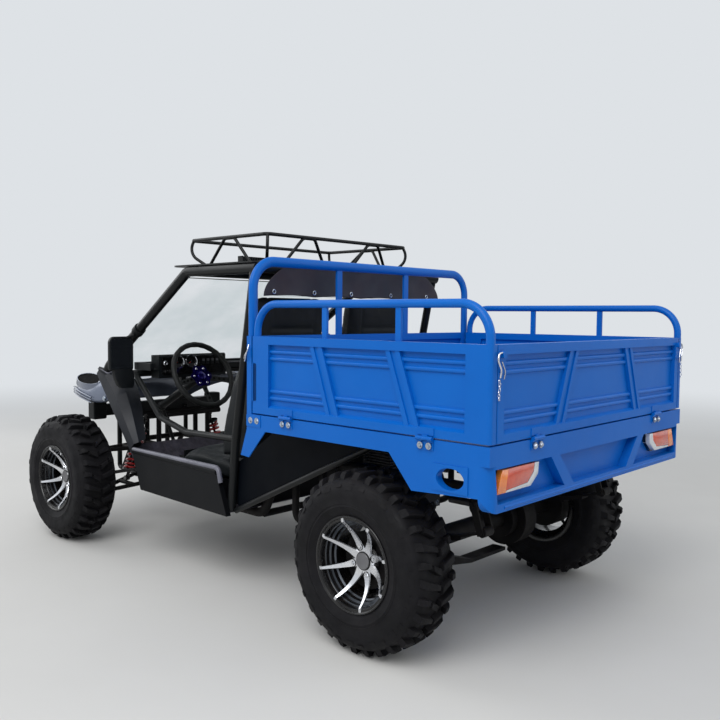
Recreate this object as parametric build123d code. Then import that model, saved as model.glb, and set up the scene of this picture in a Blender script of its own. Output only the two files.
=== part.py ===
from build123d import *
import os
from math import cos, pi, radians, sin, tan

# Open two-seat utility buggy with a drop-side cargo bed. Millimetres.
# +X points forward, +Y to the driver's left, +Z up. The origin lies on the ground
# under the middle of the vehicle.

# Overall stations
WHEELBASE = 2073
REAR_OVERHANG = 545
FRONT_OVERHANG = 372
HINGE_STANDOFF = 8
HINGE_R = 7
REAR_REACH = REAR_OVERHANG + HINGE_STANDOFF + HINGE_R
REAR_AXLE_X = (REAR_REACH - WHEELBASE - FRONT_OVERHANG) / 2
FRONT_AXLE_X = REAR_AXLE_X + WHEELBASE
NOSE_X = FRONT_AXLE_X + FRONT_OVERHANG

# Clearances
SEAT_GAP = 0.3
PANEL_GAP = 6
RUNNING_GAP = 0.5

# Wheels
TYRE_R = 317.5
TYRE_WALL = 13
LUG_H = 15
CROWN_R = TYRE_R - LUG_H
LUG_PITCHES = 16
# Lugs of one pitch on one side: place in the pitch, inner end as a share of half the width, width, skew
LUGS = ((0.0, 0.08, 38, 26), (0.52, 0.46, 34, 0))
REAR_TYRE_W = 218
FRONT_TYRE_W = 209
REAR_TRACK_HALF = 619
FRONT_TRACK_HALF = 655
BEAD_R = 152
RIM_LIP_R = 168
RIM_WALL = 5
SPOKE_COUNT = 8
SPOKE_DISH = 76
HUB_CAP_R = 30
HUB_DISC_R = 62
HUB_DISC_T = 16
HUB_CAP_T = 8
TYRE_BEAD_IN = 14
RIM_DROP = 20
SPINDLE_R = 17
AXLE_Z = TYRE_R

# Cargo bed
BED_HALF = 707
BED_FRONT = REAR_AXLE_X + 567
BED_REAR = REAR_AXLE_X - REAR_OVERHANG
BASE_Z = 722
BASE_H = 60
FLOOR_Z = BASE_Z + BASE_H
SHEET = 3
FLOOR_PLATE = 2
RAIL_W = 40
PANEL_TOP = 1081
PANEL_T = 30
HEADBOARD_T = 27
SIDE_HOOP_TOP = 1216
HEAD_HOOP_TOP = 1389
HOOP_D = 28
HEAD_HOOP_D = 40
HOOP_BEND = 105
BORDER_TOP = 30
BORDER_BOTTOM = 26
SIDE_BORDER = 92
TAIL_BORDER = 35
POST_ROUND = 13
PANEL_ROUND = 3
RECESS = 16
RIB_W = 60
RIB_GROOVE = 22
RIB_GROOVE_DEPTH = 5
RIB_LEAN = 84
RIB_PROUD = 13
SWAGE_R = 8
LEDGE = 10
HINGE_LEN = 64
HINGE_AXIS_Z = FLOOR_Z + PANEL_GAP / 2

# Rear bumper panel
BUMPER_Z = 580
BUMPER_T = 40
BUMPER_CORNER = 38
POCKET_DEPTH = 34
BUMPER_FOOT_ROUND = 44
BOSS_PROUD = 3
BEAD_BAR_R = 6
BEAD_SINK = 3
BEAD_UP = 12

# Frame and cage
CAGE_Y = 580
CAGE_D = 45
FRAME_TUBE = 40
ROOF_Z = 1349
ROOF_REAR = REAR_AXLE_X + 655
PILLAR_TOP = REAR_AXLE_X + 1137
KNEE = (REAR_AXLE_X + 1865, 866)
SILL_FRONT_TOP = (REAR_AXLE_X + 1558, 506)
SILL_REAR_TOP = (REAR_AXLE_X + 895, 494)
SILL_REAR_LOW = (REAR_AXLE_X + 822, 316)
SILL_FRONT_LOW = (REAR_AXLE_X + 1482, 328)
SILL_Y = 586
SILL_T = 24
CAB_FLOOR_Z = 326
SPRING_Y = 430
REAR_RAIL_Z = 560

# Drop sides, tailgate and bed legs
SIDE_FRONT = BED_FRONT - HEADBOARD_T - PANEL_GAP
SIDE_LENGTH = SIDE_FRONT - BED_REAR
PANEL_H = PANEL_TOP - FLOOR_Z - PANEL_GAP
# Ribs: place of the head along the panel, then the lean of the foot
SIDE_RIBS = ((707, -RIB_LEAN), (352, -RIB_LEAN))
SWAGES = (36, 62, 184, 210)
SIDE_SLATS = (REAR_AXLE_X + 155, REAR_AXLE_X - 182)
SIDE_HINGES = (REAR_AXLE_X + 338, REAR_AXLE_X - 308)
TAIL_HALF = BED_HALF - PANEL_T - PANEL_GAP
TAIL_HINGES = (-450, 450)
TAIL_RIB_Y = 206
TAIL_RIB_LEAN = 88
SLAT_W = 23
BEARERS = (REAR_AXLE_X - 330, REAR_AXLE_X, REAR_AXLE_X + 350)
BEARER_HALF = 20
BED_LEG_T = 5
# Front leg of the bed's rim, as X and Z pairs
BED_LEG = ((BED_FRONT + 1, BASE_Z + 8), (REAR_AXLE_X + 460, BASE_Z + 8), (REAR_AXLE_X + 460, BASE_Z),
           (REAR_AXLE_X + 556, BASE_Z - 108), (REAR_AXLE_X + 604, BASE_Z - 104), (BED_FRONT + 1, BASE_Z))

# Pockets, bosses and oval holes of the rear bumper panel
BOSS_X = (REAR_AXLE_X - 470, REAR_AXLE_X - 338)
BOSS_Z = (628, 712)
OVAL_X = REAR_AXLE_X - 404
OVAL_Z = 669
OVAL_R = (52, 34)
# Lamp pocket, as Y and Z pairs, and the middle pocket
LAMP_POCKET = ((676, 712), (352, 712), (262, 606), (662, 606))
MIDDLE_POCKET = ((296, 712), (-296, 712), (-200, 606), (200, 606))
LAMP_OUTLINE = ((660, 634), (632, 706), (420, 706), (424, 668), (470, 634))

# Front rails, posts and bars
FRONT_RAIL_Y = 165
FRONT_RAIL_Z = 250
UPPER_RAIL_Z = 430
UPPER_RAIL_D = 30
SHOCK_POST = 60
SHOCK_BAR = 250
SHOCK_TOP_Z = 596
LOW_POST_Y = SILL_Y - 19 - SEAT_GAP
SIDE_BAR_Z = 640
POST_X = REAR_AXLE_X + 812
DASH_BAR_X = REAR_AXLE_X + 1590
DASH_BAR_Z = 872
BRACE_Y = 560
CROSS_TUBE = 30

# Front suspension and steering linkage
KINGPIN_Y = 555
BALL_LOW_Z = AXLE_Z - 100
BALL_HIGH_Z = AXLE_Z + 100
BALL_PIN_R = 7
EYE_R = 21
EYE_H = 20
EYE_GAP = 5
ARM_TUBE = 22
LOW_ARM_SPREAD = 120
HIGH_ARM_SPREAD = 90
STEER_ARM = 110
STEER_ARM_Y = KINGPIN_Y - 25
STEER_ARM_Z = AXLE_Z + 28
STEER_ARM_T = 16
TIE_ROD_R = 9
TIE_ROD_Z = STEER_ARM_Z - STEER_ARM_T / 2 - TIE_ROD_R - 4
RACK_X = FRONT_AXLE_X - STEER_ARM
RACK_HALF = 150
PIVOT_Y = FRONT_RAIL_Y + FRAME_TUBE / 2 + 17 + SEAT_GAP
LOW_BALL = (FRONT_AXLE_X, KINGPIN_Y, BALL_LOW_Z - EYE_GAP - EYE_H / 2)
HIGH_BALL = (FRONT_AXLE_X, KINGPIN_Y, BALL_HIGH_Z + EYE_GAP + EYE_H / 2)
COIL_R = 29
COIL_WIRE = 6
COIL_CORE = 24
COIL_TURNS = 8
DAMPER_ROD = 9
SHOCK_PLATE_R = 38
SHOCK_PLATE_T = 6
SHOCK_EYE_R = 15
SHOCK_EYE_W = 26

# Rear axle and leaf springs
SPRING_W = 50
SPRING_HALF = 350
SPRING_SEAT_Z = AXLE_Z + 42
SPRING_EYE_Z = SPRING_SEAT_Z + 62
LEAF_T = 9
LEAVES = 3
SHACKLE = (34, 86)
SHACKLE_PIN = 14
LEAF_EYE_Z = SPRING_EYE_Z + LEAF_T * (LEAVES - 1) + LEAF_T / 2
AXLE_TUBE_R = 38
DIFF_Y = -250
TRUSS_Z = 188

# Engine block, as pairs of limits in X, Y and Z
ENGINE = ((REAR_AXLE_X + 300, REAR_AXLE_X + 630), (-290, 190), (310, 640))

# Steering wheel, column and dash
WHEEL_CENTRE = (REAR_AXLE_X + 1410, 300, 865)
COLUMN_TILT = 27
STEER_R = 163
STEER_GRIP_R = 14
SPOKE_ANGLES = (195, 270, 345)
COLUMN_DIR = (cos(radians(COLUMN_TILT)), 0, -sin(radians(COLUMN_TILT)))
BOSS_DEPTH = 46
COLUMN_STUB = 18
DASH_FACE_X = REAR_AXLE_X + 1505
DASH_HALF = 540
HOOD_Y = (90, 490)
HOOD_FOOT = 848
PEDAL_Y = (190, 330)

# Bonnet, front beam, fairings and bumper
# Columns: x, then side offset and height at the crown, valley, ridge and edge, and the skirt's height
BONNET_SECTIONS = (
    (FRONT_AXLE_X - 190, (180, 845), (300, 803), (385, 778), (438, 750), 706),
    (FRONT_AXLE_X - 50, (180, 840), (310, 796), (440, 784), (518, 758), 710),
    (FRONT_AXLE_X + 70, (170, 829), (300, 786), (455, 790), (564, 772), 716),
    (FRONT_AXLE_X + 160, (150, 812), (270, 768), (440, 776), (538, 762), 716),
    (FRONT_AXLE_X + 240, (130, 789), (230, 748), (370, 750), (444, 738), 698),
    (FRONT_AXLE_X + 325, (100, 757), (180, 724), (250, 708), (293, 690), 655),
)
BONNET_WALL = 5
BEAM_X = FRONT_AXLE_X + 200
BEAM_FOOT_BACK = 40
BEAM_HALF = 400
BEAM_Z = (590, 650)
# Fairing stations: share of the way down, front and rear reach from the leg's axis, inner edge
FAIRING_STATIONS = (
    (0.0, 30, 14, 603.5),
    (0.15, 30, 50, 603.5),
    (0.22, 30, 54, 560),
    (0.40, 29, 60, 524),
    (0.62, 28, 54, 530),
    (0.955, 28, 44, 545),
)
FAIRING_SHEET = 3
FAIRING_Y = CAGE_Y + CAGE_D / 2 + 0.5 + FAIRING_SHEET
FRAME_SETBACK = 60
BUMPER_TUBE = 28
BUMPER_TOP = 600

# Roof, rack, seats and mirrors
ROOF_SHEET = 6
ROOF_TOP = ROOF_Z + CAGE_D / 2 + SEAT_GAP + ROOF_SHEET
RACK_D = 16
RACK_TOP = 1510
RACK_STAY_D = 14
RACK_BASE_X = (REAR_AXLE_X + 780, REAR_AXLE_X + 1230)
RACK_BASE_HALF = 430
RACK_TOP_X = (REAR_AXLE_X + 750, REAR_AXLE_X + 1290)
RACK_TOP_HALF = 450
FIREWALL_TOP = 980
SEAT_Y = 285
SEAT_W = 440
SEAT_FRAME_W = SEAT_W - 60
SEAT_TOP = 1250
SEAT_FOOT = 430
BOLSTER_W = 55
CONSOLE_GAP = 5
CONSOLE_HALF = SEAT_Y - SEAT_W / 2 - CONSOLE_GAP
MIRROR_T = 30


def span_box(x, y, z):
    """Box between pairs of limits."""
    middle = [(pair[0] + pair[1]) / 2 for pair in (x, y, z)]
    size = [abs(pair[1] - pair[0]) for pair in (x, y, z)]
    return Pos(*middle) * Box(*size)


def rod(start, end, diameter):
    """Round bar between two points."""
    line = Vector(*end) - Vector(*start)
    return extrude(Plane(origin=start, z_dir=line) * Circle(diameter / 2), line.length)


def square_bar(start, end, width, height, up=(0, 0, 1)):
    """Rectangular bar between two points, its width across the given up direction."""
    line = Vector(*end) - Vector(*start)
    across = Vector(*up).cross(line)
    plane = Plane(origin=start, x_dir=across, z_dir=line)
    return extrude(plane * Rectangle(width, height), line.length)


def bent_tube(points, diameter, bend):
    """Round tube along straight runs joined by tangent arcs."""
    path = FilletPolyline(*points, radius=bend)
    return sweep(Plane(origin=path @ 0, z_dir=path % 0) * Circle(diameter / 2), path=path)


def side_plate(points, y, thickness):
    """Flat plate from an outline in X and Z, with its inner face at y."""
    face = Plane(origin=(0, y, 0), x_dir=(1, 0, 0), z_dir=(0, -1, 0)) * Polygon(*points, align=None)
    return extrude(face, thickness, dir=(0, 1, 0))


def rear_plate(points, x, thickness):
    """Flat plate from an outline in Y and Z, from x towards the front."""
    face = Plane(origin=(x, 0, 0), x_dir=(0, 1, 0), z_dir=(1, 0, 0)) * Polygon(*points, align=None)
    return extrude(face, thickness, dir=(1, 0, 0))


def mirrored(shape):
    """Copy on the other side of the vehicle."""
    return mirror(shape, about=Plane.XZ)


def both_sides(shape):
    """Shape and its copy on the other side."""
    return shape + mirrored(shape)


def joined(shapes):
    """Union of a list of shapes."""
    whole = shapes[0]
    for shape in shapes[1:]:
        whole = whole + shape
    return whole


def spun(points, x, y):
    """Solid of revolution about the wheel axle, from radius and side offset pairs."""
    edges = Polyline(*points, close=True)
    face = make_face(edges)
    turned = revolve(face, axis=Axis.Y)
    return Pos(x, y, AXLE_Z) * turned


# Wheels

def lug_ring(half):
    """Ring that the lugs are cut from, out to their tips and down over both shoulders."""
    # Columns: radius and side offset
    outer = [(CROWN_R - 41, half - 10), (CROWN_R - 38, half), (TYRE_R - 32, half), (TYRE_R - 10, half - 12),
             (TYRE_R, half - 38)]
    inner = [(CROWN_R - TYRE_WALL / 2, half - 46), (CROWN_R - 18.5, half - 32)]
    left = outer + [(r, -s) for r, s in reversed(outer)]
    right = [(r, -s) for r, s in reversed(inner)] + inner
    return revolve(make_face(Polyline(*(left + right), close=True)), axis=Axis.Y)


def lugs(half):
    """Lugs round both shoulders, staggered by half a pitch from side to side."""
    ring = lug_ring(half)
    pitch = 2 * pi * TYRE_R / LUG_PITCHES
    cuts = []
    for place, inner, width, skew in LUGS:
        start = half * inner
        low, high = -width / 2, width / 2
        outline = [(start, low), (half + 2, low + skew), (half + 2, high + skew), (start, high)]
        level = Plane(origin=(0, 0, CROWN_R - 60), x_dir=(0, 1, 0), z_dir=(0, 0, 1))
        block = ring & extrude(level * Polygon(*outline, align=None), LUG_H + 70)
        turn = place * 360 / LUG_PITCHES
        cuts.append(Rot(0, turn, 0) * block)
        cuts.append(Rot(0, turn + 180 / LUG_PITCHES, 0) * mirrored(block))
    return [Rot(0, 360 / LUG_PITCHES * k, 0) * block for k in range(LUG_PITCHES) for block in cuts]


def tyre(width):
    """Hollow tyre carcass with its lugs, about the origin."""
    half = width / 2
    lip = half - TYRE_BEAD_IN
    bead = BEAD_R + SEAT_GAP
    # Columns: radius and side offset
    outer = [(bead, lip), (RIM_LIP_R + 3, lip), (RIM_LIP_R + 16, half - 7), (232, half - 2),
             (CROWN_R - 30, half - 8), (CROWN_R - 8, half - 34), (CROWN_R, half - 62)]
    inner = [(CROWN_R - TYRE_WALL, half - 44), (230, half - TYRE_WALL - 2),
             (RIM_LIP_R + 12, half - 9 - TYRE_WALL), (bead, lip - TYRE_WALL)]
    upper = outer + [(r, -s) for r, s in reversed(outer)]
    lower = [(r, -s) for r, s in reversed(inner)] + inner
    carcass = revolve(make_face(Polyline(*(upper + lower), close=True)), axis=Axis.Y)
    return carcass.fuse(*lugs(half))


def rim(x, y, width, side):
    """Dished wheel: drop-centre barrel, hub disc and slim tapered spokes."""
    half = width / 2
    lip = half - TYRE_BEAD_IN
    flange_in = lip + SEAT_GAP
    flange_out = flange_in + RIM_WALL
    drop_r = BEAD_R - RIM_DROP
    inside = [(RIM_LIP_R, flange_out), (BEAD_R - RIM_WALL, flange_out), (BEAD_R - RIM_WALL, lip - 22),
              (drop_r - RIM_WALL, lip - 38)]
    outside = [(drop_r, lip - 36), (BEAD_R, lip - 20), (BEAD_R, flange_in), (RIM_LIP_R, flange_in)]
    barrel = inside + [(r, -s) for r, s in reversed(inside)]
    barrel = barrel + [(r, -s) for r, s in reversed(outside)] + outside
    face_out = half - SPOKE_DISH
    face_in = face_out - HUB_DISC_T
    disc = [(SPINDLE_R + SEAT_GAP, face_in), (HUB_DISC_R, face_in), (HUB_DISC_R - 6, face_out),
            (HUB_CAP_R, face_out), (HUB_CAP_R - 4, face_out + HUB_CAP_T), (0, face_out + HUB_CAP_T),
            (0, face_out), (SPINDLE_R + SEAT_GAP, face_out)]
    wheel = spun(barrel, 0, 0) + spun(disc, 0, 0)
    root = HUB_DISC_R - 12
    tip = BEAD_R - RIM_WALL + 2
    near = Plane(origin=(root, 0, 0), x_dir=(0, 1, 0), z_dir=(1, 0, 0))
    far = Plane(origin=(tip, 0, 0), x_dir=(0, 1, 0), z_dir=(1, 0, 0))
    foot = near * Pos(face_out - 7, 0) * Rectangle(12, 32)
    head = far * Pos(flange_out - 5, 0) * Rectangle(12, 15)
    toe = span_box((tip - 2, RIM_LIP_R - 3), (flange_out - 1, flange_out + 3), (-7.5, 7.5))
    spoke = loft([foot, head]) + toe
    for index in range(SPOKE_COUNT):
        wheel = wheel + Pos(0, 0, AXLE_Z) * Rot(0, 360 / SPOKE_COUNT * index, 0) * spoke
    wheel = wheel if side > 0 else mirrored(wheel)
    return Pos(x, y, 0) * wheel


# Cargo bed

def swage(start, end, level):
    """Half-round bead along X on the recessed sheet, at a level above the panel's foot."""
    bead = rod((start, -RECESS, level), (end, -RECESS, level), 2 * SWAGE_R)
    return bead & span_box((start, end), (-RECESS - SHEET / 2, 0), (level - SWAGE_R, level + SWAGE_R))


def framed_panel(length, height, border, rounds, ribs, swages):
    """Pressed panel lying in X and Z with its outer face at y = 0, starting at the origin.

    border: width of its end borders. rounds: corner radius at its start and end.
    ribs: top position and lean along X.
    """
    panel = span_box((0, length), (-PANEL_T, 0), (0, height))
    for end, radius in zip((0, -1), rounds):
        corner = panel.edges().filter_by(Axis.Z).group_by(Axis.X)[end].group_by(Axis.Y)[-1]
        panel = fillet(corner, radius)
    across = (border, length - border)
    foot, head = BORDER_BOTTOM, height - BORDER_TOP
    panel = panel - span_box(across, (-RECESS, 0), (foot, head))
    panel = panel - span_box(across, (-PANEL_T, -RECESS - SHEET), (foot, head))
    ledge = [(-RECESS - SHEET / 2, foot), (-RECESS - SHEET / 2, foot + LEDGE), (0, foot)]
    foot_face = Plane.YZ.offset(across[0]) * Polygon(*ledge, align=None)
    panel = panel + extrude(foot_face, across[1] - across[0], dir=(1, 0, 0))
    for level in swages:
        panel = panel + swage(*across, foot + level)
    for top, lean in ribs:
        outline = [(top, head), (top + RIB_W, head), (top + RIB_W + lean, foot), (top + lean, foot)]
        rib = side_plate(outline, -RECESS - SHEET / 2, RIB_PROUD + SHEET / 2)
        edge = (RIB_W - RIB_GROOVE) / 2
        groove = [(top + edge, head), (top + RIB_W - edge, head), (top + RIB_W - edge + lean, foot),
                  (top + edge + lean, foot)]
        panel = panel + (rib - side_plate(groove, RIB_PROUD - RECESS - RIB_GROOVE_DEPTH, RIB_GROOVE_DEPTH))
    return panel


def hinge_fixed(points):
    """Hinge halves on the bed's rim, one at each X, with the pin along X at the origin."""
    parts = []
    third = HINGE_LEN / 3
    for x in points:
        parts.append(span_box((x - HINGE_LEN / 2, x + HINGE_LEN / 2), (-HINGE_STANDOFF, 3 - HINGE_STANDOFF),
                              (-PANEL_GAP / 2 - 34, -PANEL_GAP / 2 - 6)))
        for shift in (-third, third):
            barrel = rod((x + shift - third / 2, 0, 0), (x + shift + third / 2, 0, 0), 2 * HINGE_R)
            arm = span_box((x + shift - third / 2, x + shift + third / 2), (-HINGE_STANDOFF, 0),
                           (-PANEL_GAP / 2 - 8, -PANEL_GAP / 2 - 2))
            parts.extend([barrel, arm])
        parts.append(rod((x - HINGE_LEN / 2, 0, 0), (x + HINGE_LEN / 2, 0, 0), HINGE_R))
    return joined(parts)


def hinge_moving(points):
    """Hinge knuckles on a drop panel, one at each X, with the pin along X at the origin."""
    parts = []
    third = HINGE_LEN / 3
    for x in points:
        leaf = span_box((x - HINGE_LEN / 2, x + HINGE_LEN / 2), (-HINGE_STANDOFF, 3 - HINGE_STANDOFF),
                        (PANEL_GAP / 2 + 6, PANEL_GAP / 2 + 30))
        arm = span_box((x - third / 2 + RUNNING_GAP, x + third / 2 - RUNNING_GAP), (-HINGE_STANDOFF, 0),
                       (PANEL_GAP / 2, PANEL_GAP / 2 + 8))
        barrel = rod((x - third / 2 + RUNNING_GAP, 0, 0), (x + third / 2 - RUNNING_GAP, 0, 0), 2 * HINGE_R)
        bore = rod((x - third, 0, 0), (x + third, 0, 0), HINGE_R + 2 * RUNNING_GAP)
        parts.append(leaf + (arm + barrel - bore))
    return joined(parts)


def bed_side():
    """Left drop side with its hoop, slats and hinge knuckles."""
    flat = framed_panel(SIDE_LENGTH, PANEL_H, SIDE_BORDER, (POST_ROUND, PANEL_ROUND), SIDE_RIBS, SWAGES)
    panel = Pos(BED_REAR, BED_HALF, FLOOR_Z + PANEL_GAP) * flat
    y = BED_HALF - PANEL_T / 2
    top = SIDE_HOOP_TOP - HOOP_D / 2
    front = SIDE_FRONT - HOOP_D / 2
    rear = BED_REAR + HOOP_D / 2
    foot = PANEL_TOP - 4
    hoop = bent_tube([(front, y, foot), (front, y, top), (rear, y, top), (rear, y, foot)], HOOP_D, HOOP_BEND)
    slats = [span_box((x - SLAT_W / 2, x + SLAT_W / 2), (y - 5, y + 5), (foot, top)) for x in SIDE_SLATS]
    knuckles = Pos(0, BED_HALF + HINGE_STANDOFF, HINGE_AXIS_Z) * hinge_moving(SIDE_HINGES)
    return joined([panel, hoop, knuckles] + slats)


def tailgate():
    """Rear drop panel."""
    ribs = [(TAIL_HALF + side * TAIL_RIB_Y - RIB_W / 2, side * TAIL_RIB_LEAN) for side in (1, -1)]
    flat = framed_panel(2 * TAIL_HALF, PANEL_H, TAIL_BORDER, (PANEL_ROUND, PANEL_ROUND), ribs, SWAGES)
    turned = Pos(BED_REAR, -TAIL_HALF, FLOOR_Z + PANEL_GAP) * Rot(0, 0, 90) * flat
    knuckles = Pos(BED_REAR - HINGE_STANDOFF, 0, HINGE_AXIS_Z) * Rot(0, 0, 90) * hinge_moving(TAIL_HINGES)
    return turned + knuckles


def headboard():
    """Front wall of the bed with its tall hoop."""
    height = PANEL_TOP - FLOOR_Z
    panel = span_box((BED_FRONT - HEADBOARD_T, BED_FRONT), (-BED_HALF, BED_HALF), (FLOOR_Z, PANEL_TOP))
    inner = (-BED_HALF + 60, BED_HALF - 60)
    levels = (FLOOR_Z + BORDER_BOTTOM, PANEL_TOP - BORDER_TOP)
    panel = panel - span_box((BED_FRONT - HEADBOARD_T, BED_FRONT - 12 - SHEET), inner, levels)
    panel = panel - span_box((BED_FRONT - 12, BED_FRONT), inner, levels)
    x = BED_FRONT - HEADBOARD_T / 2
    side = BED_HALF - HEAD_HOOP_D / 2
    top = HEAD_HOOP_TOP - HEAD_HOOP_D / 2
    foot = PANEL_TOP - 4
    corners = [(x, side, foot), (x, side, top), (x, -side, top), (x, -side, foot)]
    path = FilletPolyline(*corners, radius=HOOP_BEND)
    section = Plane(origin=path @ 0, x_dir=(1, 0, 0), z_dir=path % 0)
    hoop = sweep(section * Ellipse(HEADBOARD_T / 2, HEAD_HOOP_D / 2), path=path)
    slats = [span_box((x - 5, x + 5), (y - 15, y + 15), (foot, top)) for y in (-220, 220)]
    return joined([panel, hoop] + slats)


def bed_base():
    """Bed floor with its rim, cross bearers, front legs and fixed hinge halves."""
    outer = span_box((BED_REAR, BED_FRONT), (-BED_HALF, BED_HALF), (BASE_Z, FLOOR_Z))
    cavity = span_box((BED_REAR + RAIL_W, BED_FRONT - RAIL_W), (-BED_HALF + RAIL_W, BED_HALF - RAIL_W),
                      (BASE_Z, FLOOR_Z - SHEET))
    base = outer - cavity
    base = base + span_box((BED_REAR + PANEL_T + PANEL_GAP, BED_FRONT - HEADBOARD_T - PANEL_GAP),
                           (-TAIL_HALF, TAIL_HALF), (FLOOR_Z - SHEET, FLOOR_Z + FLOOR_PLATE))
    inside = (-BED_HALF + RAIL_W, BED_HALF - RAIL_W)
    for x in BEARERS:
        base = base + span_box((x - BEARER_HALF, x + BEARER_HALF), inside, (BASE_Z, FLOOR_Z - SHEET))
    base = base + both_sides(side_plate(BED_LEG, BED_HALF - BED_LEG_T, BED_LEG_T))
    hinges = Pos(0, BED_HALF + HINGE_STANDOFF, HINGE_AXIS_Z) * hinge_fixed(SIDE_HINGES)
    rear = Pos(BED_REAR - HINGE_STANDOFF, 0, HINGE_AXIS_Z) * Rot(0, 0, 90) * hinge_fixed(TAIL_HINGES)
    return joined([base, hinges, mirrored(hinges), rear])


def rear_bumper():
    """Rear panel with lamp pockets and side skirts, each with an oval hole."""
    plan = Plane.XY * Pos((BED_REAR + REAR_AXLE_X) / 2, 0) * Rectangle(REAR_OVERHANG, 2 * BED_HALF)
    block = extrude(Pos(0, 0, BUMPER_Z) * plan, BASE_Z - BUMPER_Z)
    rear_edges = block.edges().filter_by(Axis.Z).group_by(Axis.X)[0]
    block = fillet(rear_edges, BUMPER_CORNER)
    height = BASE_Z - BUMPER_Z
    facing = Plane(origin=(BED_REAR, 0, BUMPER_Z + height / 2), x_dir=(0, 1, 0), z_dir=(1, 0, 0))
    outline = facing * Rectangle(2 * BED_HALF, height)
    outline = fillet(outline.vertices().group_by(Axis.Z)[0], BUMPER_FOOT_ROUND)
    wall = block & extrude(outline, BUMPER_T)
    hollow = span_box((BED_REAR + BUMPER_T, REAR_AXLE_X), (-BED_HALF + SHEET, BED_HALF - SHEET),
                      (BUMPER_Z, BASE_Z))
    skirt_z = BUMPER_Z + BUMPER_FOOT_ROUND
    skirt = [(REAR_AXLE_X - 156, BASE_Z), (REAR_AXLE_X - 252, BUMPER_Z + 31),
             (REAR_AXLE_X - 420, BUMPER_Z + 40), (BED_REAR + BUMPER_T - 1, skirt_z),
             (BED_REAR + BUMPER_T - 1, BASE_Z)]
    sides = (block - hollow) & side_plate(skirt, -BED_HALF, 2 * BED_HALF)
    boss = span_box(BOSS_X, (BED_HALF - SHEET, BED_HALF + BOSS_PROUD), BOSS_Z)
    block = joined([wall, sides, boss, mirrored(boss)])
    hole = Plane(origin=(OVAL_X, 0, OVAL_Z), x_dir=(1, 0, 0), z_dir=(0, -1, 0)) * Ellipse(*OVAL_R)
    block = block - extrude(hole, BED_HALF + 2 * BOSS_PROUD, both=True)
    bead_y = BED_HALF - BUMPER_CORNER - BUMPER_FOOT_ROUND
    bead_z = BUMPER_Z + BEAD_UP
    bead_x = BED_REAR + BEAD_SINK
    bead = rod((bead_x, -bead_y, bead_z), (bead_x, bead_y, bead_z), 2 * BEAD_BAR_R)
    pocket = rear_plate(LAMP_POCKET, BED_REAR, POCKET_DEPTH)
    block = block - pocket - mirrored(pocket) - rear_plate(MIDDLE_POCKET, BED_REAR, POCKET_DEPTH)
    return block + bead


def tail_lamps():
    """Lamp lenses standing in the outer pockets."""
    depth = POCKET_DEPTH - SEAT_GAP
    lens = rear_plate(LAMP_OUTLINE, BED_REAR + 2, depth - 2)
    return Compound(children=[lens, mirrored(lens)])


# Frame

def chassis_frame():
    """Ladder frame: low under the cab, raised over the rear axle, narrow at the front."""
    low = CAB_FLOOR_Z - FRAME_TUBE / 2 - 3
    rise_x = SILL_REAR_LOW[0] - 30
    rear_z = REAR_RAIL_Z + FRAME_TUBE / 2
    neck = (FRONT_AXLE_X - 330, FRONT_RAIL_Y, FRONT_RAIL_Z)
    nose = (NOSE_X - FRAME_SETBACK, FRONT_RAIL_Y, FRONT_RAIL_Z)
    upper_rear = (FRONT_AXLE_X - 200, FRONT_RAIL_Y, UPPER_RAIL_Z)
    upper_front = (FRONT_AXLE_X + 200, FRONT_RAIL_Y, UPPER_RAIL_Z)
    lower = [(BED_REAR + 90, SPRING_Y, rear_z), (rise_x - 130, SPRING_Y, rear_z), (rise_x, SPRING_Y, low),
             (SILL_FRONT_LOW[0] - 40, SPRING_Y, low), neck]
    side = bent_tube(lower + [nose], FRAME_TUBE, 70)
    half = FRAME_TUBE / 2
    for x in BEARERS:
        side = side + span_box((x - BEARER_HALF, x + BEARER_HALF), (SPRING_Y - half, SPRING_Y + half),
                               (rear_z, BASE_Z))
    side = side + bent_tube([neck, upper_rear, upper_front, nose], UPPER_RAIL_D, 50)
    for x in (FRONT_AXLE_X - SHOCK_POST, FRONT_AXLE_X + SHOCK_POST):
        side = side + rod((x, FRONT_RAIL_Y, FRONT_RAIL_Z), (x, FRONT_RAIL_Y, SHOCK_TOP_Z), 28)
    pin = (REAR_AXLE_X - SPRING_HALF + SHACKLE[0], LEAF_EYE_Z + SHACKLE[1])
    bracket = span_box((pin[0] - 15, pin[0] + 15), (SPRING_Y - 20, SPRING_Y + 20), (pin[1] - 14, rear_z))
    bore = SHACKLE_PIN + 2 * SEAT_GAP
    side = side + (bracket - rod((pin[0], SPRING_Y - 30, pin[1]), (pin[0], SPRING_Y + 30, pin[1]), bore))
    eye_x = REAR_AXLE_X + SPRING_HALF
    for y0 in (SPRING_Y - SPRING_W / 2 - SEAT_GAP - 6, SPRING_Y + SPRING_W / 2 + SEAT_GAP):
        side = side + span_box((eye_x - 24, eye_x + 24), (y0, y0 + 6), (LEAF_EYE_Z - 20, rear_z - 8))
    bridge = (SPRING_Y - 30, SPRING_Y + 30)
    side = side + span_box((eye_x - 24, eye_x + 24), bridge, (rear_z - 12, rear_z - 4))
    frame = both_sides(side)
    shock_ends = [(FRONT_AXLE_X + shift, SHOCK_BAR, SHOCK_TOP_Z) for shift in (-SHOCK_POST, SHOCK_POST)]
    for x, y, z in lower + [upper_front, nose] + shock_ends:
        frame = frame + rod((x, -y, z), (x, y, z), CROSS_TUBE)
    cradle_z = ENGINE[2][0] - 15 - SEAT_GAP
    for x in (ENGINE[0][0] + 130, ENGINE[0][1] - 40):
        sling = [(x, SPRING_Y, rear_z), (x, SPRING_Y, cradle_z)]
        sling = sling + [(px, -py, pz) for px, py, pz in reversed(sling)]
        frame = frame + bent_tube(sling, CROSS_TUBE, 60)
    return frame


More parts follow.
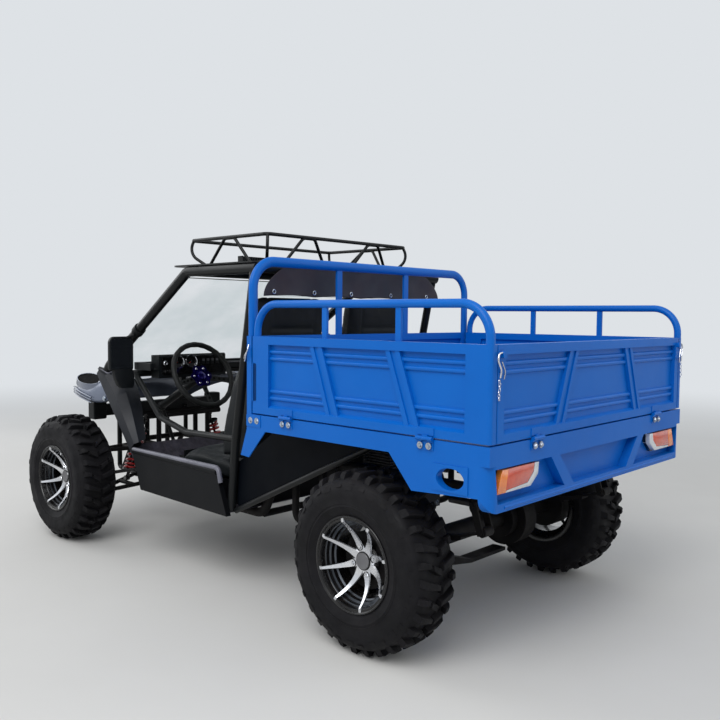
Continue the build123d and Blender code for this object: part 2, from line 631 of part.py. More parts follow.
def roll_cage():
    """Cab cage: roof rails, windscreen posts, knees, rear posts, side bars and dash bar."""
    rail = bent_tube([(ROOF_REAR, CAGE_Y, ROOF_Z), (PILLAR_TOP, CAGE_Y, ROOF_Z), (KNEE[0], CAGE_Y, KNEE[1]),
                      (SILL_FRONT_TOP[0], CAGE_Y, SILL_FRONT_TOP[1] + CAGE_D / 2)], CAGE_D, 70)
    post = bent_tube([(ROOF_REAR + 20, CAGE_Y, ROOF_Z), (POST_X, LOW_POST_Y, SIDE_BAR_Z),
                      (SILL_REAR_LOW[0] + 22, LOW_POST_Y, CAB_FLOOR_Z + 6 + SEAT_GAP)], 38, 120)
    bar = bent_tube([(POST_X, LOW_POST_Y, SIDE_BAR_Z), (REAR_AXLE_X + 1170, LOW_POST_Y, SIDE_BAR_Z - 8),
                     (REAR_AXLE_X + 1380, LOW_POST_Y, 680), (DASH_BAR_X, LOW_POST_Y, DASH_BAR_Z)], 28, 60)
    brace_end = (REAR_AXLE_X + 20, BRACE_Y, BASE_Z - 12)
    brace = rod((SILL_REAR_LOW[0] - 2, BRACE_Y, SILL_REAR_LOW[1] + 18), brace_end, 24)
    cage = both_sides(joined([rail, post, bar, brace]))
    for x, y, z, d in ((ROOF_REAR, CAGE_Y, ROOF_Z, 38), (PILLAR_TOP, CAGE_Y, ROOF_Z, 38),
                       (DASH_BAR_X, LOW_POST_Y, DASH_BAR_Z, 32), (POST_X, LOW_POST_Y, SIDE_BAR_Z, 32),
                       (KNEE[0] - 8, CAGE_Y, KNEE[1] - 12, 32)):
        cage = cage + rod((x, -y, z), (x, y, z), d)
    return cage


def sills():
    """Deep side sills with a rolled top edge."""
    outline = [SILL_FRONT_TOP, SILL_REAR_TOP, SILL_REAR_LOW, SILL_FRONT_LOW]
    panel = side_plate(outline, SILL_Y, SILL_T)
    y = SILL_Y + SILL_T / 2
    roll = rod((SILL_REAR_TOP[0], y, SILL_REAR_TOP[1]), (SILL_FRONT_TOP[0], y, SILL_FRONT_TOP[1]), 34)
    return Compound(children=[panel + roll, mirrored(panel + roll)])


# Running gear

def hub_inner(width):
    """Side offset of the wheel disc's inner face from the wheel's middle."""
    return width / 2 - SPOKE_DISH - HUB_DISC_T


def front_knuckle():
    """Left upright with its spindle, drum and steering arm."""
    x = FRONT_AXLE_X
    upright = rod((x, KINGPIN_Y, BALL_LOW_Z), (x, KINGPIN_Y, BALL_HIGH_Z), 34)
    pins = rod((x, KINGPIN_Y, BALL_LOW_Z - EYE_GAP - EYE_H), (x, KINGPIN_Y, BALL_HIGH_Z + EYE_GAP + EYE_H),
               2 * BALL_PIN_R)
    hub_y = FRONT_TRACK_HALF + hub_inner(FRONT_TYRE_W)
    spindle = rod((x, KINGPIN_Y, AXLE_Z), (x, hub_y + HUB_DISC_T - SEAT_GAP, AXLE_Z), 2 * SPINDLE_R)
    drum = rod((x, KINGPIN_Y + 26, AXLE_Z), (x, hub_y - SEAT_GAP, AXLE_Z), 190)
    arm = square_bar((x, KINGPIN_Y, STEER_ARM_Z), (x - STEER_ARM, STEER_ARM_Y, STEER_ARM_Z), 24, STEER_ARM_T)
    eye = rod((x - STEER_ARM, STEER_ARM_Y, STEER_ARM_Z - STEER_ARM_T / 2),
              (x - STEER_ARM, STEER_ARM_Y, STEER_ARM_Z + STEER_ARM_T / 2), 34)
    return joined([upright, pins, spindle, drum, arm, eye])


def wishbone(ball, spread, pivot_y, pivot_z):
    """Forked arm from a ball joint eye to two bushes on the front rail."""
    eye = rod((ball[0], ball[1], ball[2] - EYE_H / 2), (ball[0], ball[1], ball[2] + EYE_H / 2), 2 * EYE_R)
    arm = eye
    for sign in (-1, 1):
        x = ball[0] + sign * spread
        arm = arm + rod((x, pivot_y, pivot_z), (ball[0], ball[1] - 10, ball[2]), ARM_TUBE)
        arm = arm + rod((x - 18, pivot_y, pivot_z), (x + 18, pivot_y, pivot_z), 34)
    brace_y = pivot_y + 130
    reach = spread * (ball[1] - brace_y) / (ball[1] - pivot_y)
    level = pivot_z + (ball[2] - pivot_z) * 130 / (ball[1] - pivot_y)
    arm = arm + rod((ball[0] - reach, brace_y, level), (ball[0] + reach, brace_y, level), ARM_TUBE)
    bore_r = BALL_PIN_R + RUNNING_GAP / 2
    return arm - rod((ball[0], ball[1], ball[2] - EYE_H), (ball[0], ball[1], ball[2] + EYE_H), 2 * bore_r)


def front_arms():
    """Upper and lower wishbones, left and right."""
    low = wishbone(LOW_BALL, LOW_ARM_SPREAD, PIVOT_Y, FRONT_RAIL_Z)
    high = wishbone(HIGH_BALL, HIGH_ARM_SPREAD, PIVOT_Y - (FRAME_TUBE - 30) / 2, UPPER_RAIL_Z)
    return Compound(children=[low, high, mirrored(low), mirrored(high)])


def coil_over(low, high):
    """Shock absorber with its coil spring as a ribbed sleeve; ends at two eyes."""
    line = Vector(*high) - Vector(*low)
    length = line.length
    bottom = 48
    top = length - 56
    pitch = (top - bottom) / COIL_TURNS
    edges = [Line((0, 0), (DAMPER_ROD, 0))]

    def go(radius, height):
        edges.append(Line(edges[-1] @ 1, (radius, height)))

    go(DAMPER_ROD, bottom - SHOCK_PLATE_T)
    go(SHOCK_PLATE_R, bottom - SHOCK_PLATE_T)
    go(SHOCK_PLATE_R, bottom)
    go(COIL_CORE, bottom)
    for turn in range(COIL_TURNS):
        middle = bottom + pitch * (turn + 0.5)
        go(COIL_CORE, middle - COIL_WIRE)
        go(COIL_R + COIL_WIRE, middle - COIL_WIRE / 2)
        go(COIL_R + COIL_WIRE, middle + COIL_WIRE / 2)
        go(COIL_CORE, middle + COIL_WIRE)
    go(COIL_CORE, top)
    go(SHOCK_PLATE_R, top)
    go(SHOCK_PLATE_R, top + SHOCK_PLATE_T)
    go(DAMPER_ROD, top + SHOCK_PLATE_T)
    go(DAMPER_ROD, length)
    go(0, length)
    edges.append(Line(edges[-1] @ 1, (0, 0)))
    face = Plane.XZ * make_face(Wire(edges))
    parts = [revolve(face, Axis.Z)]
    for level in (0, length):
        parts.append(Pos(0, 0, level) * Rot(90, 0, 0) * Cylinder(SHOCK_EYE_R, SHOCK_EYE_W))
    return Plane(origin=low, z_dir=line) * joined(parts)


def front_shocks():
    """Coil-overs from the lower wishbones to the shock bars."""
    brace_y = PIVOT_Y + 130
    slope = (LOW_BALL[2] - FRONT_RAIL_Z) / (LOW_BALL[1] - PIVOT_Y)
    low_z = FRONT_RAIL_Z + slope * (brace_y - PIVOT_Y)
    low = (FRONT_AXLE_X, brace_y, low_z + ARM_TUBE / 2 + 15 + SEAT_GAP)
    high = (FRONT_AXLE_X, SHOCK_BAR - 30, SHOCK_TOP_Z - 22)
    shock = coil_over(low, high)
    return Compound(children=[shock, mirrored(shock)])


def tie_rod():
    """Rack bar with its outer ends under the steering arms."""
    reach = STEER_ARM_Y + 16
    return rod((RACK_X, -reach, TIE_ROD_Z), (RACK_X, reach, TIE_ROD_Z), 2 * TIE_ROD_R)


def rear_axle():
    """Live axle: tube, offset gear housing, brake backplates, spindles and truss bar."""
    x = REAR_AXLE_X
    hub_y = REAR_TRACK_HALF + hub_inner(REAR_TYRE_W)
    drum_in = REAR_TRACK_HALF - REAR_TYRE_W / 2 + 30
    axle = rod((x, -drum_in, AXLE_Z), (x, drum_in, AXLE_Z), 2 * AXLE_TUBE_R)
    for side in (-1, 1):
        axle = axle + rod((x, side * drum_in, AXLE_Z), (x, side * (hub_y - SEAT_GAP), AXLE_Z), 200)
        axle = axle + rod((x, side * (hub_y - 10), AXLE_Z),
                          (x, side * (hub_y + HUB_DISC_T - SEAT_GAP), AXLE_Z), 2 * SPINDLE_R)
        axle = axle + span_box((x - 40, x + 40), (side * SPRING_Y - 30, side * SPRING_Y + 30),
                               (AXLE_Z, SPRING_SEAT_Z - SEAT_GAP))
    gear = Pos(x, DIFF_Y, AXLE_Z) * Rot(90, 0, 0) * Cylinder(118, 84)
    cone = Pos(x, DIFF_Y, AXLE_Z) * Rot(90, 0, 0) * Cylinder(80, 160)
    nose = rod((x, DIFF_Y, AXLE_Z + 20), (x + 165, DIFF_Y, AXLE_Z + 20), 90)
    truss = [(420, AXLE_Z - 60), (330, AXLE_Z - 34), (60, TRUSS_Z + 14), (-180, TRUSS_Z + 14),
             (-180, TRUSS_Z), (64, TRUSS_Z), (420, AXLE_Z - 76)]
    bar = rear_plate(truss, x - 40, 60)
    post = rod((x - 10, 400, AXLE_Z - 68), (x - 10, 400, AXLE_Z), 30)
    return joined([axle, gear, cone, nose, bar, post])


def leaf_spring():
    """Left leaf pack with its eyes and rear shackle."""
    x = REAR_AXLE_X
    leaves = []
    rise = SPRING_EYE_Z - SPRING_SEAT_Z
    for index in range(LEAVES):
        half = SPRING_HALF * (1 - 0.24 * index)
        level = LEAF_T * (LEAVES - index - 1) + SPRING_SEAT_Z
        lift = rise * (half / SPRING_HALF) ** 2
        tip = level + lift
        low = ThreePointArc((-half, tip), (0, level), (half, tip))
        high = ThreePointArc((half, tip + LEAF_T), (0, level + LEAF_T), (-half, tip + LEAF_T))
        ends = [Line(low @ 1, high @ 0), Line(high @ 1, low @ 0)]
        face = make_face([low, high] + ends)
        leaf = extrude(Plane.XZ * face, SPRING_W / 2, both=True)
        leaves.append(Pos(x, SPRING_Y, 0) * leaf)
    eye_z = LEAF_EYE_Z
    eyes = [rod((x + side * SPRING_HALF, SPRING_Y - SPRING_W / 2, eye_z),
                (x + side * SPRING_HALF, SPRING_Y + SPRING_W / 2, eye_z), 34) for side in (-1, 1)]
    shackle_top = (x - SPRING_HALF + SHACKLE[0], eye_z + SHACKLE[1])
    straps = []
    for side in (-1, 1):
        y = SPRING_Y + side * (SPRING_W / 2 + 4)
        straps.append(square_bar((x - SPRING_HALF, y, eye_z - 10), (shackle_top[0], y, shackle_top[1] + 10),
                                 26, 7, up=(0, 1, 0)))
    pin_half = SPRING_W / 2 + 12
    for px, pz in ((x - SPRING_HALF, eye_z), shackle_top):
        straps.append(rod((px, SPRING_Y - pin_half, pz), (px, SPRING_Y + pin_half, pz), SHACKLE_PIN))
    return joined(leaves + eyes + straps)


def leaf_springs():
    """Left and right leaf packs."""
    left = leaf_spring()
    return Compound(children=[left, mirrored(left)])


def engine():
    """Engine and gearbox as one plain block."""
    return fillet(span_box(*ENGINE).edges(), 18)


def drive_shaft():
    """Shaft from the gearbox to the rear axle's nose."""
    start = (REAR_AXLE_X + 165 + SEAT_GAP, DIFF_Y, AXLE_Z + 20)
    end = (ENGINE[0][0] - SEAT_GAP, DIFF_Y, AXLE_Z + 20)
    return rod(start, end, 34)


# Steering

def along_column(distance):
    """Point on the steering column's axis, forward of the wheel's centre."""
    return tuple(c + distance * d for c, d in zip(WHEEL_CENTRE, COLUMN_DIR))


def steering_wheel():
    """Rim, three dished spokes and boss."""
    grip = Torus(STEER_R, STEER_GRIP_R)
    wheel = grip
    for angle in SPOKE_ANGLES:
        near = Plane(origin=(28, 0, -20), x_dir=(0, 1, 0), z_dir=(1, 0, 0))
        far = Plane(origin=(STEER_R - 4, 0, 0), x_dir=(0, 1, 0), z_dir=(1, 0, 0))
        spoke = loft([near * RectangleRounded(34, 14, 5), far * RectangleRounded(22, 12, 5)])
        wheel = wheel + Rot(0, 0, angle) * spoke
    upward = (Align.CENTER, Align.CENTER, Align.MIN)
    boss = Pos(0, 0, -BOSS_DEPTH) * Cylinder(44, 34, align=upward)
    wheel = wheel + boss - Pos(0, 0, -BOSS_DEPTH) * Cylinder(COLUMN_STUB / 2 + SEAT_GAP, 22, align=upward)
    back = tuple(-d for d in COLUMN_DIR)
    return Plane(origin=WHEEL_CENTRE, x_dir=(0, -1, 0), z_dir=back) * wheel


def steering_column():
    """Column, its clamp to the dash bar, lower shaft and rack housing."""
    column = rod(along_column(BOSS_DEPTH + RUNNING_GAP), along_column(400), 38)
    stub = rod(along_column(BOSS_DEPTH - 20), along_column(80), COLUMN_STUB)
    joint = along_column(410)
    pinion = (RACK_X + 14, 50, TIE_ROD_Z + 10)
    shaft = rod(joint, pinion, 20)
    knot = Pos(*joint) * Sphere(24)
    housing = rod((RACK_X, -RACK_HALF, TIE_ROD_Z), (RACK_X, RACK_HALF, TIE_ROD_Z), 44)
    bore_r = TIE_ROD_R + RUNNING_GAP
    feet = span_box((RACK_X - 14, RACK_X + 14), (RACK_HALF - 10, RACK_HALF + 24),
                    (FRONT_RAIL_Z + FRAME_TUBE / 2 + SEAT_GAP, TIE_ROD_Z + 4))
    height = WHEEL_CENTRE[2] - (DASH_BAR_X - WHEEL_CENTRE[0]) * tan(radians(COLUMN_TILT))
    clamp = span_box((DASH_BAR_X - 14, DASH_BAR_X + 14), (WHEEL_CENTRE[1] - 14, WHEEL_CENTRE[1] + 14),
                     (height, DASH_BAR_Z - 16 - SEAT_GAP))
    body = joined([housing, feet, mirrored(feet), shaft, knot, column, stub, clamp])
    reach = RACK_HALF + 40
    return body - rod((RACK_X, -reach, TIE_ROD_Z), (RACK_X, reach, TIE_ROD_Z), 2 * bore_r)


def dash():
    """Dash shelf over the dash bar with its instrument hood."""
    bottom = DASH_BAR_Z + 16 + SEAT_GAP
    shelf = span_box((DASH_FACE_X, DASH_BAR_X + 60), (-DASH_HALF, DASH_HALF), (bottom, bottom + 70))
    tray = (20 - DASH_HALF, HOOD_Y[0] - 20)
    shelf = shelf - span_box((DASH_FACE_X - 1, DASH_BAR_X + 20), tray, (bottom + 6, bottom + 60))
    hood = span_box((DASH_FACE_X, DASH_BAR_X - 16 - SEAT_GAP), HOOD_Y, (HOOD_FOOT, bottom + 76))
    return shelf + hood


# Nose, dash, roof and cab

def bonnet_solid(inset):
    """Loft through the bonnet sections, drawn in by an inset."""
    faces = []
    for x, *bends, skirt in BONNET_SECTIONS:
        right = [(y - inset, z - inset) for y, z in bends]
        right.append((right[-1][0], skirt))
        outline = right + [(-y, z) for y, z in reversed(right)]
        place = Plane(origin=(x, 0, 0), x_dir=(0, 1, 0), z_dir=(1, 0, 0))
        faces.append(place * Polygon(*outline, align=None))
    return loft(faces, ruled=True)


def bonnet():
    """Open shell over the front suspension, closed at the nose."""
    outer = bonnet_solid(0)
    front = BONNET_SECTIONS[-1][0]
    room = bonnet_solid(BONNET_WALL) & span_box((-3000, front - BONNET_WALL), (-900, 900), (0, 2000))
    return outer - room


def front_beam():
    """Cross beam ahead of the springs with posts up to the bonnet."""
    beam = span_box((BEAM_X - 30, BEAM_X + 30), (-BEAM_HALF, BEAM_HALF), BEAM_Z)
    posts = []
    for side in (-1, 1):
        y = side * FRONT_RAIL_Y
        foot_x = BEAM_X - BEAM_FOOT_BACK
        posts.append(rod((foot_x, y, UPPER_RAIL_Z + UPPER_RAIL_D / 2 + SEAT_GAP), (foot_x, y, 620), 26))
        posts.append(span_box((BEAM_X - 20, BEAM_X + 20), (y - 15, y + 15), (640, 900)))
    room = Pos(0, 0, -SEAT_GAP) * bonnet_solid(BONNET_WALL)
    lower = span_box((BEAM_X - 60, BEAM_X + 40), (-460, 460), (400, 720))
    return joined([beam] + posts) & (room + lower)


def knee_fairings():
    """Bent sheets over the front cage legs, from the knee to the sill."""
    top = Vector(KNEE[0] + 3, 0, KNEE[1] + 12)
    foot = Vector(SILL_FRONT_TOP[0] - 10, 0, SILL_FRONT_TOP[1] + 2)
    down = (foot - top).normalized()
    t = FAIRING_SHEET
    faces = []
    for share, front, rear, inner in FAIRING_STATIONS:
        outline = [(-front, CAGE_Y - 8), (-front, FAIRING_Y), (rear, FAIRING_Y + 2), (rear, inner),
                   (rear - t, inner), (rear - t, FAIRING_Y + 2 - t), (t - front, FAIRING_Y - t),
                   (t - front, CAGE_Y - 8)]
        back = Vector(down.Z, 0, -down.X)
        place = Plane(origin=top + (foot - top) * share, x_dir=back, z_dir=down)
        faces.append(place * Polygon(*outline, align=None))
    sheet = loft(faces, ruled=True)
    return Compound(children=[sheet, mirrored(sheet)])


def front_bumper():
    """Nose hoop on the front rails."""
    y = FRONT_RAIL_Y
    foot = NOSE_X - FRAME_SETBACK + 15 + SEAT_GAP
    x = NOSE_X - BUMPER_TUBE / 2
    z = FRONT_RAIL_Z
    left = [(foot, y, z), (x, y, z), (x, y, BUMPER_TOP)]
    right = [(px, -py, pz) for px, py, pz in reversed(left)]
    return bent_tube(left + right, BUMPER_TUBE, 22)


def headlamps():
    """Round-cornered lamp bodies on the nose."""
    front = BONNET_SECTIONS[-1][0] + SEAT_GAP
    lamp = span_box((front, front + 22), (110, 250), (660, 715))
    lamp = fillet(lamp.edges().filter_by(Axis.X), 14)
    return Compound(children=[lamp, mirrored(lamp)])


def roof_panel():
    """Roof sheet over the cage with a short visor."""
    panel = span_box((ROOF_REAR - 30, REAR_AXLE_X + 1250), (-CAGE_Y - 15, CAGE_Y + 15),
                     (ROOF_TOP - ROOF_SHEET, ROOF_TOP))
    return fillet(panel.edges().filter_by(Axis.Z), 50)


def ring_tube(x0, x1, half, z, diameter, bend):
    """Closed rectangular hoop of round tube in a level plane."""
    corners = [(x0, -half, z), (x1, -half, z), (x1, half, z), (x0, half, z)]
    path = FilletPolyline(*corners, radius=bend, close=True)
    return sweep(Plane(origin=path @ 0, z_dir=path % 0) * Circle(diameter / 2), path=path)


def roof_rack():
    """Rack basket: base and top rails, posts and arched stays."""
    base_z = ROOF_TOP + SEAT_GAP + RACK_D / 2
    top_z = RACK_TOP - RACK_D / 2
    base_x, base_y = RACK_BASE_X, RACK_BASE_HALF
    top_x, top_y = RACK_TOP_X, RACK_TOP_HALF
    parts = [ring_tube(*base_x, base_y, base_z, RACK_D, 40), ring_tube(*top_x, top_y, top_z, RACK_D, 24)]
    middle = (base_x[0] + base_x[1]) / 2
    for side in (-1, 1):
        for end, sign in ((0, -1), (1, 1)):
            foot = (base_x[end] - sign * 12, side * (base_y - 12), base_z)
            bow = (top_x[end] + sign * 12, side * (top_y + 10), (base_z + top_z) / 2)
            head = (top_x[end] - sign * 8, side * (top_y - 8), top_z)
            parts.append(bent_tube([foot, bow, head], RACK_STAY_D, 60))
        head_y = side * top_y
        arch = [(middle - 120, side * base_y, base_z), (middle - 34, head_y, top_z - 4),
                (middle + 34, head_y, top_z - 4), (middle + 170, side * base_y, base_z)]
        parts.append(bent_tube(arch, RACK_STAY_D, 26))
        arch = [(base_x[0], side * 90, base_z), (top_x[0], side * 176, top_z - 4),
                (top_x[0], side * 244, top_z - 4), (base_x[0], side * 330, base_z)]
        parts.append(bent_tube(arch, RACK_STAY_D, 26))
    for share in (0.33, 0.66):
        x = base_x[0] + share * (base_x[1] - base_x[0])
        parts.append(rod((x, -base_y, base_z), (x, base_y, base_z), RACK_STAY_D))
    return joined(parts)


def light_bar():
    """Lamp bar on the front of the rack floor."""
    z = ROOF_TOP + SEAT_GAP
    bar = span_box((REAR_AXLE_X + 1160, REAR_AXLE_X + 1205), (-250, 250), (z + 14, z + 62))
    feet = span_box((REAR_AXLE_X + 1172, REAR_AXLE_X + 1192), (-214, -190), (z, z + 14))
    return bar + both_sides(feet)


def windscreen():
    """Flat pane between the windscreen posts."""
    start = Vector(PILLAR_TOP, 0, ROOF_Z)
    line = Vector(KNEE[0], 0, KNEE[1]) - start
    width = 2 * (CAGE_Y - CAGE_D / 2 - SEAT_GAP)
    pane = Plane(origin=start + line.normalized() * 45, x_dir=(0, 1, 0), z_dir=line)
    return extrude(pane * Rectangle(width, 5), line.length - 90)


def floor_pan():
    """Cab floor with its sloping toe board."""
    x0 = SILL_REAR_LOW[0] + 10
    x1 = SILL_FRONT_LOW[0] - 20
    half = SILL_Y - SEAT_GAP
    profile = [(x0, CAB_FLOOR_Z), (x1, CAB_FLOOR_Z), (x1 + 170, CAB_FLOOR_Z + 190),
               (x1 + 166, CAB_FLOOR_Z + 194), (x1 - 3, CAB_FLOOR_Z + 4), (x0, CAB_FLOOR_Z + 4)]
    return side_plate(profile, -half, 2 * half)


def firewall():
    """Sheet between the seats and the engine."""
    x0 = SILL_REAR_LOW[0] + 14
    foot = CAB_FLOOR_Z + 4 + SEAT_GAP
    lean = (x0 - (POST_X - 24)) / (SIDE_BAR_Z - foot)
    head = x0 - lean * (FIREWALL_TOP - foot)
    profile = [(x0, foot), (x0 + 4, foot), (head + 4, FIREWALL_TOP), (head, FIREWALL_TOP)]
    half = CAGE_Y - 60
    return side_plate(profile, -half, 2 * half)


def mudguards():
    """Black sheets between the wheels and the engine bay, from sill to bed."""
    outline = [(SILL_REAR_LOW[0] - 4, SILL_REAR_LOW[1] + 34), (SILL_REAR_TOP[0] - 10, SILL_REAR_TOP[1]),
               (BED_FRONT - 20, BASE_Z - SEAT_GAP), (REAR_AXLE_X + 30, BASE_Z - SEAT_GAP)]
    sheet = side_plate(outline, BRACE_Y - 12 - 4 - SEAT_GAP, 4)
    return Compound(children=[sheet, mirrored(sheet)])


def cushion_top(x):
    """Height of the cushion's top at a station."""
    return 500 + (x - REAR_AXLE_X - 860) * 30 / 470


def seat_base():
    """Left seat cushion."""
    rear = REAR_AXLE_X + 860
    front = REAR_AXLE_X + 1330
    outline = [(rear + 5, SEAT_FOOT), (front - 20, SEAT_FOOT), (front, cushion_top(front)),
               (rear, cushion_top(rear))]
    return fillet(side_plate(outline, SEAT_Y - SEAT_W / 2, SEAT_W).edges().filter_by(Axis.Y), 18)


def seat_back():
    """Left seat back with its side bolsters and tall head part."""
    x = REAR_AXLE_X
    lean = [(x + 846, cushion_top(x + 846) + SEAT_GAP), (x + 985, cushion_top(x + 985) + SEAT_GAP),
            (x + 868, 1000), (x + 824, SEAT_TOP), (x + 756, SEAT_TOP)]
    half = SEAT_W / 2 - 10
    middle = fillet(side_plate(lean, SEAT_Y - half, 2 * half).edges().filter_by(Axis.Y), 26)
    wing = [(x + 900, cushion_top(x + 900) + SEAT_GAP), (x + 1050, cushion_top(x + 1050) + SEAT_GAP),
            (x + 1040, 640), (x + 958, 870), (x + 880, 985), (x + 815, 1010), (x + 850, 800)]
    left = side_plate(wing, SEAT_Y + half - BOLSTER_W, BOLSTER_W)
    right = side_plate(wing, SEAT_Y - half, BOLSTER_W)
    return joined([middle, left, right])


def seat_frames():
    """Boxes that carry the two seat cushions."""
    half = SEAT_FRAME_W / 2
    box = span_box((REAR_AXLE_X + 910, REAR_AXLE_X + 1300), (SEAT_Y - half, SEAT_Y + half),
                   (CAB_FLOOR_Z + 4 + SEAT_GAP, SEAT_FOOT - SEAT_GAP))
    return Compound(children=[box, mirrored(box)])


def rear_canvas():
    """Short curtain below the roof's rear edge."""
    rear = ROOF_REAR - 27 - SEAT_GAP
    return span_box((rear, rear + 8), (-CAGE_Y + 10, CAGE_Y - 10), (1235, ROOF_TOP - ROOF_SHEET - SEAT_GAP))


def mirrors():
    """Left and right mirrors with their stalks."""
    x = REAR_AXLE_X + 1560
    head = span_box((x - MIRROR_T / 2, x + MIRROR_T / 2), (604, 728), (896, 1056))
    corners = head.edges().filter_by(Axis.X).group_by(Axis.Z)
    head = fillet(corners[-1], 30)
    share = (x - PILLAR_TOP) / (KNEE[0] - PILLAR_TOP)
    post_z = ROOF_Z + share * (KNEE[1] - ROOF_Z)
    stalk = rod((x, CAGE_Y + CAGE_D / 2 + SEAT_GAP, post_z - 10), (x, 650, 1030), 12)
    left = head + stalk
    return Compound(children=[left, mirrored(left)])


def pedals():
    """Throttle and brake pedals on the toe board."""
    x = SILL_FRONT_LOW[0] + 40
    toe = SILL_FRONT_LOW[0] - 23 - SEAT_GAP
    beyond = side_plate([(toe, CAB_FLOOR_Z + 4), (toe + 400, CAB_FLOOR_Z + 4), (toe + 400, CAB_FLOOR_Z + 194),
                         (toe + 169, CAB_FLOOR_Z + 194)], 0, 600)
    parts = []
    for y in PEDAL_Y:
        pad = span_box((x - 40, x - 32), (y - 30, y + 30), (CAB_FLOOR_Z + 90, CAB_FLOOR_Z + 160))
        arm = rod((x - 36, y, CAB_FLOOR_Z + 110), (x + 60, y, CAB_FLOOR_Z + 120), 14)
        parts.append((pad + arm) - beyond)
    return Compound(children=parts)


def centre_console():
    """Box between the seats with the gear lever."""
    z0 = CAB_FLOOR_Z + 4 + SEAT_GAP
    box = span_box((REAR_AXLE_X + 1060, REAR_AXLE_X + 1440), (-CONSOLE_HALF, CONSOLE_HALF), (z0, 520))
    lever = rod((REAR_AXLE_X + 1300, 0, 515), (REAR_AXLE_X + 1270, 0, 660), 14)
    return box + lever + Pos(REAR_AXLE_X + 1270, 0, 665) * Sphere(24)


SUBPARTS = {}


def write_all():
    """Build each sub-part and write it."""
    os.makedirs("parts", exist_ok=True)
    wheels = (("rear_left", REAR_AXLE_X, REAR_TRACK_HALF, REAR_TYRE_W, 1),
              ("rear_right", REAR_AXLE_X, -REAR_TRACK_HALF, REAR_TYRE_W, -1),
              ("front_left", FRONT_AXLE_X, FRONT_TRACK_HALF, FRONT_TYRE_W, 1),
              ("front_right", FRONT_AXLE_X, -FRONT_TRACK_HALF, FRONT_TYRE_W, -1))
    treads = {width: tyre(width) for width in (REAR_TYRE_W, FRONT_TYRE_W)}
    for name, x, y, width, side in wheels:
        SUBPARTS["tyre_" + name] = Pos(x, y, AXLE_Z) * treads[width]
        SUBPARTS["rim_" + name] = rim(x, y, width, side)
    side = bed_side()
    SUBPARTS.update({
        "bed_side_left": side,
        "bed_side_right": mirrored(side),
        "tailgate": tailgate(),
        "bed_headboard": headboard(),
        "bed_base": bed_base(),
        "rear_bumper": rear_bumper(),
        "tail_lamps": tail_lamps(),
        "chassis_frame": chassis_frame(),
        "roll_cage": roll_cage(),
        "sills": sills(),
        "floor_pan": floor_pan(),
        "firewall": firewall(),
        "mudguards": mudguards(),
        "bonnet": bonnet(),
        "knee_fairings": knee_fairings(),
        "front_beam": front_beam(),
        "front_bumper": front_bumper(),
        "headlamps": headlamps(),
        "dash": dash(),
        "steering_column": steering_column(),
        "steering_wheel": steering_wheel(),
        "tie_rod": tie_rod(),
        "knuckle_left": front_knuckle(),
        "knuckle_right": mirrored(front_knuckle()),
        "front_arms": front_arms(),
        "front_shocks": front_shocks(),
        "rear_axle": rear_axle(),
        "leaf_springs": leaf_springs(),
        "engine": engine(),
        "drive_shaft": drive_shaft(),
        "windscreen": windscreen(),
        "roof_panel": roof_panel(),
        "roof_rack": roof_rack(),
        "light_bar": light_bar(),
        "rear_canvas": rear_canvas(),
        "seat_base_left": seat_base(),
        "seat_base_right": mirrored(seat_base()),
        "seat_back_left": seat_back(),
        "seat_back_right": mirrored(seat_back()),
        "seat_frames": seat_frames(),
        "mirrors": mirrors(),
        "pedals": pedals(),
        "centre_console": centre_console(),
    })
    for node, shape in SUBPARTS.items():
        export_step(shape, "parts/" + node + ".step")


write_all()
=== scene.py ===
from math import cos, pi, radians, sin

import bmesh
import bpy
import numpy as np
from mathutils import Matrix, Vector


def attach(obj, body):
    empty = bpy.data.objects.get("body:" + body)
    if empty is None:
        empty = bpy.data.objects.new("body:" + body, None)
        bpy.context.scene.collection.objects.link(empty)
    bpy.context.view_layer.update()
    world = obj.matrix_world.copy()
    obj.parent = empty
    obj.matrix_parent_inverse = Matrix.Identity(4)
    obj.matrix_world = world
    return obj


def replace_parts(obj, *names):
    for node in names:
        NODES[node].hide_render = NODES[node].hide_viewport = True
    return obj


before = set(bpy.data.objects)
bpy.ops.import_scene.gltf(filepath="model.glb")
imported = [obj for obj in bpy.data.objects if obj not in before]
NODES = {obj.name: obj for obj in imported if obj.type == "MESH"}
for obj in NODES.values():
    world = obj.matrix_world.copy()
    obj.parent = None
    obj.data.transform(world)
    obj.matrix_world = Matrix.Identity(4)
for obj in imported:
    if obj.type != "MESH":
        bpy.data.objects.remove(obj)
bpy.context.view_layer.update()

# Open two-seat utility buggy with a drop-side cargo bed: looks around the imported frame. Metres.
REAR_X = -0.9425
FRONT_X = 1.1305
AXLE_Z = 0.3175
BED_HALF = 0.707
BED_REAR = REAR_X - 0.545
FLOOR_Z = 0.782
TOP_TUBE_Z = 1.349
TUBE_R = 0.0225
ROOF_SHEET = 0.006
CLEARANCE = 0.0003


# Camera

CAMERA_PLACE = (-2.779, 2.6487, 1.1635)
CAMERA_YAW = -0.8204
CAMERA_PITCH = -0.056
CAMERA_ROLL = 0.0083
CAMERA_LENS = 39.95
CAMERA_SENSOR = 36


def shown(name, data):
    """New object in the scene."""
    obj = bpy.data.objects.new(name, data)
    bpy.context.scene.collection.objects.link(obj)
    return obj


def axes_frame(x, y, z, place):
    """Frame from its three axes and its place."""
    return Matrix([[x[i], y[i], z[i], place[i]] for i in range(3)] + [[0, 0, 0, 1]])


